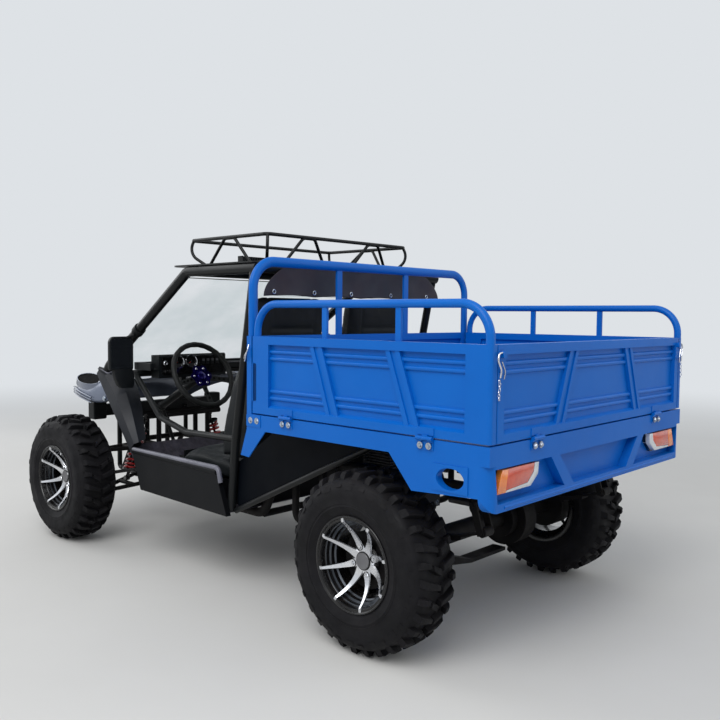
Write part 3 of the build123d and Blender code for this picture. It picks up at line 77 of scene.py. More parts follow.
def photo_camera():
    """Camera at the photograph's viewing angle."""
    level = cos(CAMERA_PITCH)
    forward = Vector((cos(CAMERA_YAW) * level, sin(CAMERA_YAW) * level, sin(CAMERA_PITCH)))
    right = Vector((sin(CAMERA_YAW), -cos(CAMERA_YAW), 0))
    up = right.cross(forward)
    turned_right = cos(CAMERA_ROLL) * right + sin(CAMERA_ROLL) * up
    turned_up = cos(CAMERA_ROLL) * up - sin(CAMERA_ROLL) * right
    data = bpy.data.cameras.new("camera")
    data.lens = CAMERA_LENS
    data.sensor_width = CAMERA_SENSOR
    camera = shown("camera", data)
    camera.matrix_world = axes_frame(turned_right, turned_up, -forward, CAMERA_PLACE)
    bpy.context.scene.camera = camera


photo_camera()


# Mesh tools

HERE = Matrix.Identity(4)
SIDE = Matrix(((1, 0, 0, 0), (0, 0, -1, 0), (0, 1, 0, 0), (0, 0, 0, 1)))
OUTWARD = Matrix(((1, 0, 0, 0), (0, 0, 1, 0), (0, -1, 0, 0), (0, 0, 0, 1)))
REAR = Matrix(((0, 0, 1, 0), (1, 0, 0, 0), (0, 1, 0, 0), (0, 0, 0, 1)))


def blob(verts=(), faces=()):
    """A mesh under construction: points, faces and the material index of each face."""
    return {"v": [Vector(p) for p in verts], "f": [tuple(f) for f in faces], "m": [0] * len(faces)}


def merge(*parts):
    """One mesh from several."""
    whole = blob()
    for part in parts:
        shift = len(whole["v"])
        whole["v"] += part["v"]
        whole["f"] += [tuple(i + shift for i in f) for f in part["f"]]
        whole["m"] += part["m"]
    return whole


def moved(part, matrix):
    """Copy of a mesh after a transform."""
    flip = matrix.to_3x3().determinant() < 0
    faces = [tuple(reversed(f)) for f in part["f"]] if flip else part["f"]
    return {"v": [matrix @ p for p in part["v"]], "f": list(faces), "m": list(part["m"])}


def at(x, y, z):
    return Matrix.Translation((x, y, z))


def flipped(part):
    """Copy on the other side of the vehicle."""
    return moved(part, Matrix.Diagonal((1, -1, 1, 1)))


def pair(part):
    """A mesh with its copy on the other side of the vehicle."""
    return merge(part, flipped(part))


def dyed(part, index):
    """Same mesh with every face on one material."""
    part["m"] = [index] * len(part["f"])
    return part


def facing(point, direction, spin_ref=(0, 0, 1)):
    """Frame at a point whose +Z is the direction."""
    z = Vector(direction).normalized()
    ref = Vector(spin_ref)
    if abs(z.dot(ref)) > 0.99:
        ref = Vector((1, 0, 0))
    x = ref.cross(z).normalized()
    return axes_frame(x, z.cross(x), z, point)


def turns(count):
    """Cosine and sine at even steps round a full turn."""
    return [(cos(2 * pi * k / count), sin(2 * pi * k / count)) for k in range(count)]


def lathe(profile, steps=48, place=HERE, index=0, close=False):
    """Solid of revolution about local Z from radius and height pairs; a zero radius closes the end."""
    part = blob()
    rings = []
    for r, z in profile:
        start = len(part["v"])
        if r < 1e-6:
            part["v"].append(Vector((0, 0, z)))
            rings.append([start] * steps)
        else:
            part["v"] += [Vector((r * c, r * s, z)) for c, s in turns(steps)]
            rings.append(list(range(start, start + steps)))
    if close:
        rings.append(rings[0])
    for low, high in zip(rings, rings[1:]):
        for k in range(steps):
            n = (k + 1) % steps
            corners = tuple(dict.fromkeys((low[k], low[n], high[n], high[k])))
            if len(corners) > 2:
                part["f"].append(corners)
    return moved(dyed(part, index), place)


def grid(rows, wrap=False, cap=False, index=0):
    """Skin through rows of points; wrap joins each row's ends and cap closes the first and last row."""
    part = blob([p for row in rows for p in row])
    n = len(rows[0])
    for i in range(len(rows) - 1):
        for j in range(n if wrap else n - 1):
            k = (j + 1) % n
            part["f"].append((i * n + j, i * n + k, (i + 1) * n + k, (i + 1) * n + j))
    if cap:
        last = (len(rows) - 1) * n
        part["f"] += [tuple(reversed(range(n))), tuple(range(last, last + n))]
    return dyed(part, index)


def solid(rows, index=0):
    """Closed form through rings of points."""
    return grid(rows, wrap=True, cap=True, index=index)


def rounded(points, bend, steps=5):
    """Points of a run whose inner corners are rounded."""
    pts = [Vector(p) for p in points]
    out = [pts[0]]
    for a, p, b in zip(pts, pts[1:], pts[2:]):
        da, db = (a - p), (b - p)
        cut = min(bend, da.length * 0.48, db.length * 0.48)
        start, end = p + da.normalized() * cut, p + db.normalized() * cut
        for k in range(steps + 1):
            t = k / steps
            out.append((1 - t) ** 2 * start + 2 * t * (1 - t) * p + t * t * end)
    return out + [pts[-1]]


def pipe(points, radius, bend=0.02, sides=12, index=0):
    """Round tube along a run."""
    line = rounded(points, bend)
    rows = []
    normal = None
    for behind, p, ahead in zip(line[:1] + line, line, line[1:] + line[-1:]):
        along = (ahead - behind).normalized()
        if normal is None:
            ref = Vector((0, 0, 1)) if abs(along.z) < 0.9 else Vector((1, 0, 0))
            normal = along.cross(ref).normalized()
        normal = (normal - along * normal.dot(along)).normalized()
        other = along.cross(normal)
        rows.append([p + radius * (c * normal + s * other) for c, s in turns(sides)])
    return solid(rows, index)


def slab(outline, thickness, place=HERE, index=0):
    """Flat plate: an outline in local X and Y, thick along local Z."""
    n = len(outline)
    part = blob([(x, y, z) for z in (0, thickness) for x, y in outline])
    part["f"] = [tuple(reversed(range(n))), tuple(range(n, 2 * n))]
    part["f"] += [(i, (i + 1) % n, (i + 1) % n + n, i + n) for i in range(n)]
    return moved(dyed(part, index), place)


def block(x, y, z, index=0):
    """Box between pairs of limits."""
    outline = [(x[0], y[0]), (x[1], y[0]), (x[1], y[1]), (x[0], y[1])]
    return slab(outline, z[1] - z[0], at(0, 0, z[0]), index)


def round_rect(w, h, r, steps=4):
    """Outline of a rectangle with round corners about the origin."""
    out = []
    for cx, cy, start in ((w / 2 - r, h / 2 - r, 0), (-w / 2 + r, h / 2 - r, 90),
                          (-w / 2 + r, -h / 2 + r, 180), (w / 2 - r, -h / 2 + r, 270)):
        for k in range(steps + 1):
            a = radians(start + 90 * k / steps)
            out.append((cx + r * cos(a), cy + r * sin(a)))
    return out


def round_plate(w, h, r, thickness, place=HERE, index=0):
    """Flat plate with round corners."""
    return slab(round_rect(w, h, r), thickness, place, index)


def spun(degrees, axis="Z"):
    """Turn about an axis."""
    return Matrix.Rotation(radians(degrees), 4, axis)


def torus(major, minor, steps, sides, waves=0, wave=0.0, index=0):
    """Ring about Z, with optional swells round its tube."""
    rows = []
    for k in range(steps):
        a = 2 * pi * k / steps
        fat = minor - wave + wave * cos(waves * a)
        out = Vector((cos(a), sin(a), 0))
        rows.append([major * out + fat * (c * out + s * Vector((0, 0, 1))) for c, s in turns(sides)])
    return grid(rows + rows[:1], wrap=True, index=index)


def add_modifier(obj, name, kind, **settings):
    """Modifier with its settings."""
    mod = obj.modifiers.new(name, kind)
    for key, value in settings.items():
        setattr(mod, key, value)
    return mod


def piece(name, part, body, mats, smooth=35, bevel=0.0, bevel_steps=2):
    """A shown object from a mesh, riding on a body."""
    mesh = bpy.data.meshes.new(name)
    mesh.from_pydata([tuple(p) for p in part["v"]], [], part["f"])
    for m in mats:
        mesh.materials.append(m)
    mesh.polygons.foreach_set("material_index", part["m"])
    bm = bmesh.new()
    bm.from_mesh(mesh)
    bmesh.ops.remove_doubles(bm, verts=bm.verts, dist=1e-6)
    bmesh.ops.recalc_face_normals(bm, faces=bm.faces)
    bm.to_mesh(mesh)
    bm.free()
    mesh.shade_smooth()
    mesh.set_sharp_from_angle(angle=radians(smooth))
    obj = shown(name, mesh)
    if bevel:
        add_modifier(obj, "edge", "BEVEL", width=bevel, segments=bevel_steps, limit_method="ANGLE",
                     angle_limit=radians(smooth), harden_normals=True)
    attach(obj, body)
    return obj


# Materials

def srgb(r, g, b):
    """Linear colour from 0-255 display values."""
    shares = [c / 255 for c in (r, g, b)]
    return tuple(c / 12.92 if c <= 10 / 255 else ((c + 0.055) / 1.055) ** 2.4 for c in shares) + (1,)


def add_node(tree, kind, sockets=None, **settings):
    """New shader node; each socket, by name or place, takes a link or a plain value."""
    node = tree.nodes.new("ShaderNode" + kind)
    for key, value in settings.items():
        setattr(node, key, value)
    for key, value in (sockets or {}).items():
        if isinstance(value, bpy.types.NodeSocket):
            tree.links.new(value, node.inputs[key])
        else:
            node.inputs[key].default_value = value
    return node


def calculated(tree, operation, first, second):
    """Result of a sum on two values."""
    return add_node(tree, "Math", {0: first, 1: second}, operation=operation).outputs[0]


def raised(tree, height, strength, distance):
    """Bumps the shader's normal by a height."""
    bump = add_node(tree, "Bump", {"Strength": strength, "Distance": distance, "Height": height})
    tree.links.new(bump.outputs["Normal"], tree.nodes["Principled BSDF"].inputs["Normal"])


def waves_along(tree, axis, scale, distortion=0.0):
    """Height of parallel waves across an axis."""
    coords = add_node(tree, "TexCoord").outputs["Object"]
    sockets = {"Scale": scale, "Distortion": distortion, "Vector": coords}
    return add_node(tree, "TexWave", sockets, bands_direction=axis).outputs["Fac"]


def surface(name, colour, second=None, rough=(0.4, 0.55), metallic=0.0, scale=6.0, grain=0.0,
            grain_scale=400.0, dust=0.0, dust_colour=(120, 108, 92), coat=0.0, coat_rough=0.1, spots=0.5,
            sheen=0.0, gloss=0.5):
    """Procedural material: mottled colour, uneven roughness, fine grain and settled dust."""
    mat = bpy.data.materials.new(name)
    mat.use_nodes = True
    tree = mat.node_tree
    shader = tree.nodes["Principled BSDF"]
    coords = add_node(tree, "TexCoord").outputs["Object"]

    def noise(size, detail=4.0, roughness=0.55):
        sockets = {"Scale": size, "Detail": detail, "Roughness": roughness, "Vector": coords}
        return add_node(tree, "TexNoise", sockets).outputs["Fac"]

    def ramp(value, low, high, out_low=0.0, out_high=1.0):
        sockets = {"Value": value, "From Min": low, "From Max": high, "To Min": out_low, "To Max": out_high}
        return add_node(tree, "MapRange", sockets).outputs["Result"]

    def mix(share, below, above):
        return add_node(tree, "Mix", {0: share, 6: below, 7: above}, data_type="RGBA").outputs[2]

    other = second or tuple(min(255, int(c * 1.12 + 3)) for c in colour)
    tint = mix(ramp(noise(scale), 0.35, 0.7), srgb(*colour), srgb(*other))
    shine = ramp(noise(scale * 3.1, 5.0), 0.3, 0.7, rough[0], rough[1])
    if dust:
        normal = add_node(tree, "NewGeometry").outputs["Normal"]
        upward = add_node(tree, "SeparateXYZ", {"Vector": normal}).outputs["Z"]
        lie = ramp(upward, 0.2, 1.0, 0.25, 1.0)
        patches = ramp(noise(scale * 2.3, 6.0, 0.65), spots - 0.12, spots + 0.22, 0.0, dust)
        share = calculated(tree, "MULTIPLY", lie, patches)
        tint = mix(share, tint, srgb(*dust_colour))
        shine = calculated(tree, "ADD", shine, share)
    tree.links.new(tint, shader.inputs["Base Color"])
    tree.links.new(shine, shader.inputs["Roughness"])
    if grain:
        raised(tree, noise(grain_scale, 3.0), 0.6, grain)
    shader.inputs["Metallic"].default_value = metallic
    shader.inputs["Coat Weight"].default_value = coat
    shader.inputs["Coat Roughness"].default_value = coat_rough
    shader.inputs["Sheen Weight"].default_value = sheen
    shader.inputs["Specular IOR Level"].default_value = gloss
    return mat


BLUE = surface("bed_blue", (1, 94, 184), (4, 101, 193), rough=(0.3, 0.42), scale=2.2, grain=0.00025,
               grain_scale=260, dust=0.04, dust_colour=(70, 124, 166), spots=0.55, gloss=0.22)
BLACK = surface("frame_black", (7, 10, 12), (13, 16, 18), rough=(0.3, 0.48), scale=3, grain=0.0002,
                grain_scale=300, dust=0.03, spots=0.52, gloss=0.25)
UNDER = surface("under_black", (7, 7, 10), (17, 16, 17), rough=(0.5, 0.75), scale=5, grain=0.0006,
                grain_scale=160, dust=0.10, gloss=0.18)
GUARD = surface("guard_black", (2, 5, 11), (5, 9, 16), rough=(0.5, 0.65), scale=3, grain=0.0003,
                grain_scale=300, dust=0.01, gloss=0.08)
SHEET_BLACK = surface("sheet_black", (5, 7, 10), (10, 12, 16), rough=(0.42, 0.55), scale=2, grain=0.0003,
                      grain_scale=350, dust=0.02, gloss=0.14)
MAT = surface("floor_mat", (36, 34, 44), (62, 60, 72), rough=(0.6, 0.8), scale=26, grain=0.001,
              grain_scale=140, dust=0.25, dust_colour=(110, 104, 104), gloss=0.25)
GREY_TRIM = surface("grey_trim", (72, 74, 80), (88, 90, 96), rough=(0.35, 0.5), scale=5, grain=0.0002,
                    dust=0.2)
FAIRING = surface("fairing_grey", (21, 24, 31), (29, 32, 39), rough=(0.40, 0.52), scale=4, grain=0.0003,
                  dust=0.04, gloss=0.3)
# Light grey painted as the highlight along dark rolled edges, not a colour of their own
ROLL_HIGHLIGHT = surface("roll_painted_highlight", (92, 93, 104), (112, 112, 124), rough=(0.3, 0.42), scale=9, grain=0.0002,
                    dust=0.1)
RUBBER = surface("tyre_rubber", (9, 9, 12), (18, 17, 21), rough=(0.55, 0.8), scale=7, grain=0.0007,
                 grain_scale=220, dust=0.12, dust_colour=(70, 62, 58), spots=0.56, gloss=0.2)
RIM_BLACK = surface("rim_black", (6, 6, 8), (11, 11, 14), rough=(0.2, 0.34), scale=9, coat=0.25, dust=0.06,
                    gloss=0.35)
RIM_SILVER = surface("rim_machined", (205, 207, 212), (232, 233, 236), rough=(0.22, 0.32), metallic=1.0,
                     scale=12)
RIM_GREY = surface("rim_grey", (70, 75, 82), (92, 96, 102), rough=(0.3, 0.42), metallic=0.8, scale=10,
                   dust=0.08)
CAP_GREY = surface("cap_grey", (112, 112, 115), (126, 126, 128), rough=(0.42, 0.5), metallic=0.5, scale=14,
                   dust=0.1)
CHROME = surface("bright_steel", (200, 203, 208), (225, 226, 230), rough=(0.08, 0.2), metallic=1.0, scale=20)
STEEL = surface("dull_steel", (92, 92, 95), (66, 63, 62), rough=(0.38, 0.6), metallic=0.85, scale=14,
                grain=0.0003, grain_scale=240, dust=0.18)
ZINC = surface("zinc_bolt", (196, 205, 216), (172, 178, 186), rough=(0.2, 0.36), metallic=0.9, scale=60)
CAST = surface("cast_alloy", (100, 100, 103), (76, 75, 75), rough=(0.5, 0.7), metallic=0.6, scale=9,
               grain=0.0009, grain_scale=180, dust=0.22)
RED = surface("spring_red", (164, 16, 22), (190, 28, 30), rough=(0.25, 0.4), scale=9, coat=0.4, dust=0.08)
COWL = surface("cowl_grey", (96, 104, 120), (112, 120, 138), rough=(0.18, 0.28), metallic=0.3, scale=3,
               coat=0.5, grain=0.00008, grain_scale=700, dust=0.06)
# Near-black matt fill painted as the shade inside vent mouths and steering wheel holes, which are closed, not
# cut
HOLLOW_SHADE = surface("painted_hollow_shade", (3, 3, 4), (6, 6, 7), rough=(0.7, 0.9), scale=12, gloss=0.1)
PLASTIC = surface("moulded_plastic", (10, 14, 17), (17, 21, 25), rough=(0.42, 0.58), grain=0.0004,
                  grain_scale=650, dust=0.04, gloss=0.22)
GLOSS_PLASTIC = surface("gloss_plastic", (9, 10, 12), (14, 15, 18), rough=(0.14, 0.26), coat=0.35, dust=0.06)
LEATHER = surface("wheel_grip", (16, 18, 18), (25, 27, 27), rough=(0.5, 0.66), scale=9, grain=0.0005,
                  grain_scale=520, gloss=0.3)
VINYL = surface("seat_vinyl", (17, 21, 24), (26, 31, 34), rough=(0.42, 0.6), scale=5, grain=0.0006,
                grain_scale=480, dust=0.04, gloss=0.25)
BOSS = surface("boss_purple", (20, 12, 88), (32, 18, 118), rough=(0.16, 0.3), metallic=0.8, scale=16,
               coat=0.3)
DIAL = surface("dial_face", (10, 10, 13), (15, 15, 19), rough=(0.3, 0.4), scale=30)
MARK = surface("dial_mark", (222, 224, 226), (236, 236, 238), rough=(0.4, 0.5), scale=30)
AMBER = surface("lens_amber", (232, 118, 22), (248, 142, 40), rough=(0.08, 0.16), scale=26, coat=1.0)
ORANGE = surface("lens_orange", (196, 62, 30), (216, 82, 44), rough=(0.08, 0.16), scale=26, coat=1.0)
CLEAR = surface("lens_clear", (196, 202, 208), (220, 224, 228), rough=(0.06, 0.14), scale=26, coat=1.0)
LED = surface("led_chip", (226, 224, 190), (240, 238, 220), rough=(0.2, 0.3), scale=40, coat=1.0)
# Dark navy painted as the shade inside the open side slots
SLOT_SHADE = surface("slot_painted_shade", (3, 42, 92), (5, 50, 104), rough=(0.6, 0.7), scale=12, gloss=0.1)
GLASS_DARK = surface("mirror_glass", (40, 44, 50), (46, 50, 56), rough=(0.03, 0.06), metallic=0.6, scale=4,
                     coat=1.0, coat_rough=0.02)


def woven(name, colour, second, scale):
    """Coated canvas: plain weave from two crossed waves, over a mottled tint."""
    mat = surface(name, colour, second, rough=(0.6, 0.8), scale=4, dust=0.1, sheen=0.15)
    tree = mat.node_tree
    across_y, across_z = [waves_along(tree, axis, scale, 0.6) for axis in ("Y", "Z")]
    raised(tree, calculated(tree, "MULTIPLY", across_y, across_z), 0.5, 0.0006)
    return mat


def glass(name, colour):
    """Thin clear pane."""
    mat = surface(name, colour, rough=(0.02, 0.05), scale=3)
    shader = mat.node_tree.nodes["Principled BSDF"]
    shader.inputs["Transmission Weight"].default_value = 1.0
    shader.inputs["IOR"].default_value = 1.12
    return mat


def fluted(mat):
    """Adds moulded flutes to a lens material."""
    raised(mat.node_tree, waves_along(mat.node_tree, "Y", 42), 0.4, 0.001)


CANVAS = woven("curtain_canvas", (30, 35, 48), (46, 30, 40), 260)
PANE = glass("clear_pane", (232, 238, 238))
for lens_mat in (AMBER, ORANGE, CLEAR):
    fluted(lens_mat)


def repaint(mat, *names):
    """Give CAD nodes a better material."""
    for name in names:
        mesh = NODES[name].data
        mesh.materials.clear()
        mesh.materials.append(mat)


repaint(BLUE, "bed_side_left", "bed_side_right", "tailgate", "bed_headboard", "bed_base", "rear_bumper")
repaint(BLACK, "roll_cage", "roof_rack", "roof_panel", "steering_column", "front_beam", "front_bumper",
        "pedals")
repaint(UNDER, "chassis_frame", "front_arms", "rear_axle", "leaf_springs")
repaint(GUARD, "mudguards")
repaint(MAT, "floor_pan")
repaint(SHEET_BLACK, "sills", "firewall", "seat_frames", "centre_console")
repaint(STEEL, "tie_rod", "knuckle_left", "knuckle_right", "drive_shaft")
repaint(CAST, "engine")
repaint(PANE, "windscreen")


# Tyres

TYRE_R = 0.3175
CROWN_R = 0.2955
BEAD_R = 0.1523
FLANGE_INSET = 0.014
ROUND_STEPS = 96
LUG_PITCHES = 16
LUG_H = 0.022
LUG_STEPS = 5
LUG_ROOT = -0.004
LUG_SOFT = 0.0022
LUG_DRAFT = 0.0016
# Past the shoulder the lugs get lower, by this much at the end of the tread
SHOULDER = 0.085
LUG_LOSS = 0.013
SKIN_STEP = 0.004
# Lugs of one pitch: from and to across (below zero counts back from the shoulder's end), place along the
# tread at both ends, width at both ends
LUG_TABLE = (
    (0.007, -0.003, -0.026, 0.010, 0.021, 0.037),
    (0.052, -0.012, 0.056, 0.064, 0.024, 0.028),
    (0.004, 0.044, 0.024, 0.046, 0.028, 0.021),
)


def tyre_profile(half):
    """Outer line of the carcass from bead to bead: radius and side offset pairs."""
    lip = half - FLANGE_INSET
    right = [(BEAD_R, lip), (0.169, lip), (0.176, lip + 0.004), (0.184, half - 0.007), (0.196, half - 0.0035),
             (0.200, half - 0.0015), (0.204, half - 0.003), (0.232, half), (0.256, half - 0.001),
             (0.274, half - 0.007), (0.285, half - 0.016), (0.292, half - 0.030), (CROWN_R, half - 0.055),
             (CROWN_R + 0.001, 0)]
    return right + [(r, -s) for r, s in reversed(right[:-1])]


def tyre(name, x, y, width, body):
    """Mud tyre: carcass with chunky staggered lugs that run over its shoulders."""
    half = width / 2
    outer = tyre_profile(half)
    inner = [(BEAD_R, 0.027 - half), (0.180, 0.022 - half), (0.230, 0.013 - half), (0.286, 0.04 - half)]
    inner += [(r, -s) for r, s in reversed(inner)]
    carcass = lathe(outer + inner, ROUND_STEPS, SIDE, close=True)
    radii, offsets = zip(*[(r, s) for r, s in outer if r > 0.25])
    dist = [0.0]
    for r0, s0, r1, s1 in zip(radii, offsets, radii[1:], offsets[1:]):
        dist.append(dist[-1] + ((r1 - r0) ** 2 + (s1 - s0) ** 2) ** 0.5)
    reach = dist[-1] / 2

    def on_line(d):
        """Radius and offset at a distance along the tread's outer line."""
        return np.interp(d, dist, radii), np.interp(d, dist, offsets)

    def skin(u, v, lift):
        """Point on the carcass at u across from the crown line and v along it, lifted off it."""
        d = u + reach
        r, s = on_line(d)
        (r1, s1), (r2, s2) = on_line(d - SKIN_STEP), on_line(d + SKIN_STEP)
        dr, ds = r2 - r1, s2 - s1
        size = max((dr * dr + ds * ds) ** 0.5, 1e-9)
        nr, ns = -ds / size, dr / size
        if nr < 0:
            nr, ns = -nr, -ns
        if abs(ns) > 1e-3 and ns * u < 0:
            ns = -ns
        r, s = min(r + lift * nr, TYRE_R), max(-half, min(half, s + lift * ns))
        a = v / TYRE_R
        return Vector((r * sin(a), s, r * cos(a)))

    def lug(u0, u1, v0, v1, w0, w1, side, shift):
        """One lug from u0 to u1; v is its middle and w its width at either end."""
        rows = []
        for k in range(LUG_STEPS + 1):
            t = k / LUG_STEPS
            u, v, w = u0 + (u1 - u0) * t, v0 + (v1 - v0) * t, w0 + (w1 - w0) * t
            tall = LUG_H - LUG_LOSS * max(0.0, u - SHOULDER) / (reach - SHOULDER)
            end = {0: LUG_DRAFT * 1.4, LUG_STEPS: -LUG_DRAFT * 1.4}.get(k, 0)
            half_row = ((LUG_ROOT, 0), (tall - LUG_SOFT, LUG_DRAFT), (tall, LUG_DRAFT + LUG_SOFT))
            row = []
            for edge, corners in ((-1, half_row), (1, half_row[::-1])):
                for lift, cut in corners:
                    du = end if lift > 0 else 0
                    row.append(skin(side * (u + du), shift + v + edge * (w / 2 - cut), lift))
            rows.append(row)
        return solid(rows)

    pitch = 2 * pi * TYRE_R / LUG_PITCHES
    lugs = []
    for k in range(LUG_PITCHES):
        for side, stagger in ((-1, 0.0), (1, 0.5)):
            for u0, u1, v0, v1, w0, w1 in LUG_TABLE:
                end = reach + u1 if u1 < 0 else u1
                lugs.append(lug(u0, end, v0, v1, w0, w1, side, pitch * (k + stagger)))
    rib = [(0.208, half - 0.0032), (0.2095, half - 0.0012), (0.211, half - 0.0030)]
    ribs = [lathe(rib, ROUND_STEPS, SIDE @ Matrix.Diagonal((1, 1, side, 1))) for side in (-1, 1)]
    part = moved(merge(carcass, *lugs, *ribs), at(x, y, AXLE_Z))
    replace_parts(piece(name, part, body, [RUBBER], smooth=32), name)


# Rims

SPOKES = 8
SPOKE_TURN = 0.35
SPOKE_BEND = 0.006
SPOKE_DIP = 2.2
SPOKE_FLAT = 0.9
SPOKE_ROOT = 0.028
SPOKE_TIP = 0.1590
SPOKE_EDGE = 0.0042
# Share of the way out and half width
SPOKE_STATIONS = (
    (0.0, 0.0155), (0.07, 0.0175), (0.16, 0.0160), (0.28, 0.0128), (0.42, 0.0104), (0.56, 0.0088),
    (0.70, 0.0074), (0.82, 0.0062), (0.90, 0.0056), (0.95, 0.0070), (0.985, 0.0070), (1.0, 0.0050),
)
NUTS = 4
NUT_TURN = 0.21
NUT_CIRCLE = 0.050
GREY_STEPS = (8, 10, 12)


def rim_spoke(face, out, silver, grey):
    """One curved machined spoke, standing up from the hub, with grey flanks."""
    rows = []
    for t, w in SPOKE_STATIONS:
        r = SPOKE_ROOT + (SPOKE_TIP - SPOKE_ROOT) * t
        level = face + 0.002 + (out - 0.005 - face) * min(1, t / SPOKE_FLAT) ** SPOKE_DIP
        bend = SPOKE_BEND * sin(pi * t)
        half_row = ((0.66, 0.015 - 0.007 * t), (1.0, SPOKE_EDGE), (0.80, 0.0))
        rows.append([(bend + edge * w * k, level - deep, r)
                     for edge, corners in ((-1, half_row), (1, half_row[::-1])) for k, deep in corners])
    spoke = solid(rows)
    per = len(rows[0])
    for i in range(len(rows) - 1):
        spoke["m"][i * per:i * per + per - 1] = [grey, silver, silver, silver, grey]
    return spoke


def rim(name, x, y, width, side, body):
    """Dished wheel: black barrel with grey steps, eight curved machined spokes, cap and nuts."""
    half = width / 2
    lip = half - FLANGE_INSET
    out = lip + 0.0053
    face = half - 0.076
    black, silver, grey, bolt, plain = range(5)
    line = [(0.168, lip + 0.0003), (0.168, out - 0.002), (0.1665, out), (0.163, out + 0.0008),
            (0.160, out - 0.001), (0.158, out - 0.005), (0.1505, out - 0.008), (0.149, lip - 0.020),
            (0.1475, lip - 0.022), (0.1440, lip - 0.023), (0.1425, lip - 0.036), (0.134, lip - 0.038),
            (0.1325, lip - 0.052), (0.127, lip - 0.056), (0.126, -lip + 0.03), (0.146, -lip + 0.015),
            (0.148, -lip), (0.160, -out), (0.168, -out), (0.168, -lip - 0.0003), (0.152, -lip - 0.0003),
            (0.152, -lip + 0.02), (0.1305, -lip + 0.036), (0.1305, lip - 0.058), (0.1375, lip - 0.056),
            (0.1475, lip - 0.040), (0.152, lip - 0.02), (0.152, lip + 0.0003)]
    barrel = lathe(line, ROUND_STEPS, OUTWARD, black, close=True)
    for ring in GREY_STEPS:
        barrel["m"][ring * ROUND_STEPS:(ring + 1) * ROUND_STEPS] = [grey] * ROUND_STEPS
    # Hub disc, behind the spokes
    hub = [(0.0173, face - 0.016), (0.060, face - 0.016), (0.062, face - 0.010), (0.056, face - 0.003),
           (0.034, face - 0.002), (0.033, face + 0.003), (0.0173, face + 0.003)]
    cap = [(0, face + 0.003), (0.0290, face + 0.003), (0.0290, face + 0.0062), (0.0278, face + 0.0074),
           (0.0, face + 0.0078)]
    parts = [barrel, lathe(hub, 64, OUTWARD, black, close=True), lathe(cap, 48, OUTWARD, plain)]
    well = [(0.0140, face - 0.006), (0.0140, face + 0.0044), (0.0122, face + 0.0052), (0.0112, face - 0.001),
            (0.0, face - 0.001)]
    nut = [(0.0074, face - 0.001), (0.0076, face + 0.0045), (0.006, face + 0.0065), (0.0, face + 0.0068)]
    for k in range(NUTS):
        a = 2 * pi * (k + NUT_TURN) / NUTS
        spot = at(NUT_CIRCLE * sin(a), 0, NUT_CIRCLE * cos(a)) @ OUTWARD
        parts += [lathe(well, 24, spot, black), lathe(nut, 6, spot, bolt)]
    spoke = rim_spoke(face, out, silver, grey)
    for k in range(SPOKES):
        parts.append(moved(spoke, Matrix.Rotation(2 * pi * (k + SPOKE_TURN) / SPOKES, 4, "Y")))
    whole = merge(*parts)
    if side < 0:
        whole = flipped(whole)
    whole = moved(whole, at(x, y, AXLE_Z))
    mats = [RIM_BLACK, RIM_SILVER, RIM_GREY, CHROME, CAP_GREY]
    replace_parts(piece(name, whole, body, mats, smooth=30), name)


# Name, place, half track and tyre width of each axle
for end_name, x, track_half, width in (("rear", REAR_X, 0.619, 0.218), ("front", FRONT_X, 0.655, 0.209)):
    for side_name, side in (("left", 1), ("right", -1)):
        key = end_name + "_" + side_name
        tyre("tyre_" + key, x, side * track_half, width, "wheel_" + key)
        rim("rim_" + key, x, side * track_half, width, side, "wheel_" + key)


# Small fixings, gathered in one piece for each body

BOLT_TALL = 0.006
HINGE_BOLT = 0.0075
HINGE_Z = FLOOR_Z - 0.020
HINGE_BOLTS_APART = 0.017
SIDE_HINGES = (0.338, -0.308)
SIDE_BOLT_Y = 0.715
TAIL_HINGE_Y = 0.45
CORNER_BOLTS = (0.542, 0.506)


def bolt_head(point, direction, size=0.0085, index=0):
    """Domed hexagon head on a washer, sunk a little into what it holds."""
    place = facing(point, direction)
    washer = [(0, -0.001), (size * 1.45, -0.001), (size * 1.45, 0.0012), (0, 0.0012)]
    head = [(0, 0), (size, 0), (size, BOLT_TALL * 0.7), (size * 0.86, BOLT_TALL), (0, BOLT_TALL)]
    return merge(lathe(washer, 20, place, index), lathe(head, 6, place, index))


base_fixings = []
bolt_offsets = (-HINGE_BOLTS_APART, HINGE_BOLTS_APART)
for side in (-1, 1):
    out = (0, side, 0)
    for x in SIDE_HINGES:
        for dx in bolt_offsets:
            base_fixings.append(bolt_head((REAR_X + x + dx, side * SIDE_BOLT_Y, HINGE_Z), out, HINGE_BOLT))
    for x in CORNER_BOLTS:
        base_fixings.append(bolt_head((REAR_X + x, side * (BED_HALF + 0.0025), FLOOR_Z - 0.023), out))
for y in (-TAIL_HINGE_Y, TAIL_HINGE_Y):
    for dy in bolt_offsets:
        base_fixings.append(bolt_head((BED_REAR - 0.008, y + dy, HINGE_Z), (-1, 0, 0), HINGE_BOLT))
piece("bed_base_bolts", merge(*base_fixings), "chassis", [ZINC])

sockets = [round_plate(0.082, 0.046, 0.004, 0.0028,
                       facing((REAR_X + 0.526, side * BED_HALF, 0.7575), (0, side, 0))) for side in (-1, 1)]
piece("post_socket_plates", merge(*sockets), "chassis", [BLUE], bevel=0.0006)


# Open slots at the front end of each drop side, each filled by a flat dark navy plate painted as the shade
# inside the opening

SLOT_X = REAR_X + 0.522
SLOT_EDGE_X = REAR_X + 0.5303
SLOT_Z = 0.9065

for side, name in ((1, "left"), (-1, "right")):
    place, edge_place = [facing((x, side * BED_HALF, SLOT_Z), (0, side, 0)) for x in (SLOT_X, SLOT_EDGE_X)]
    slot = merge(round_plate(0.021, 0.143, 0.006, 0.0006, place),
                 round_plate(0.004, 0.147, 0.001, 0.004, edge_place, 1))
    piece("side_slot_" + name, slot, "side_" + name + "_body", [SLOT_SHADE, BLUE])


# Turned-in collars of the oval holes in the bumper's skirts

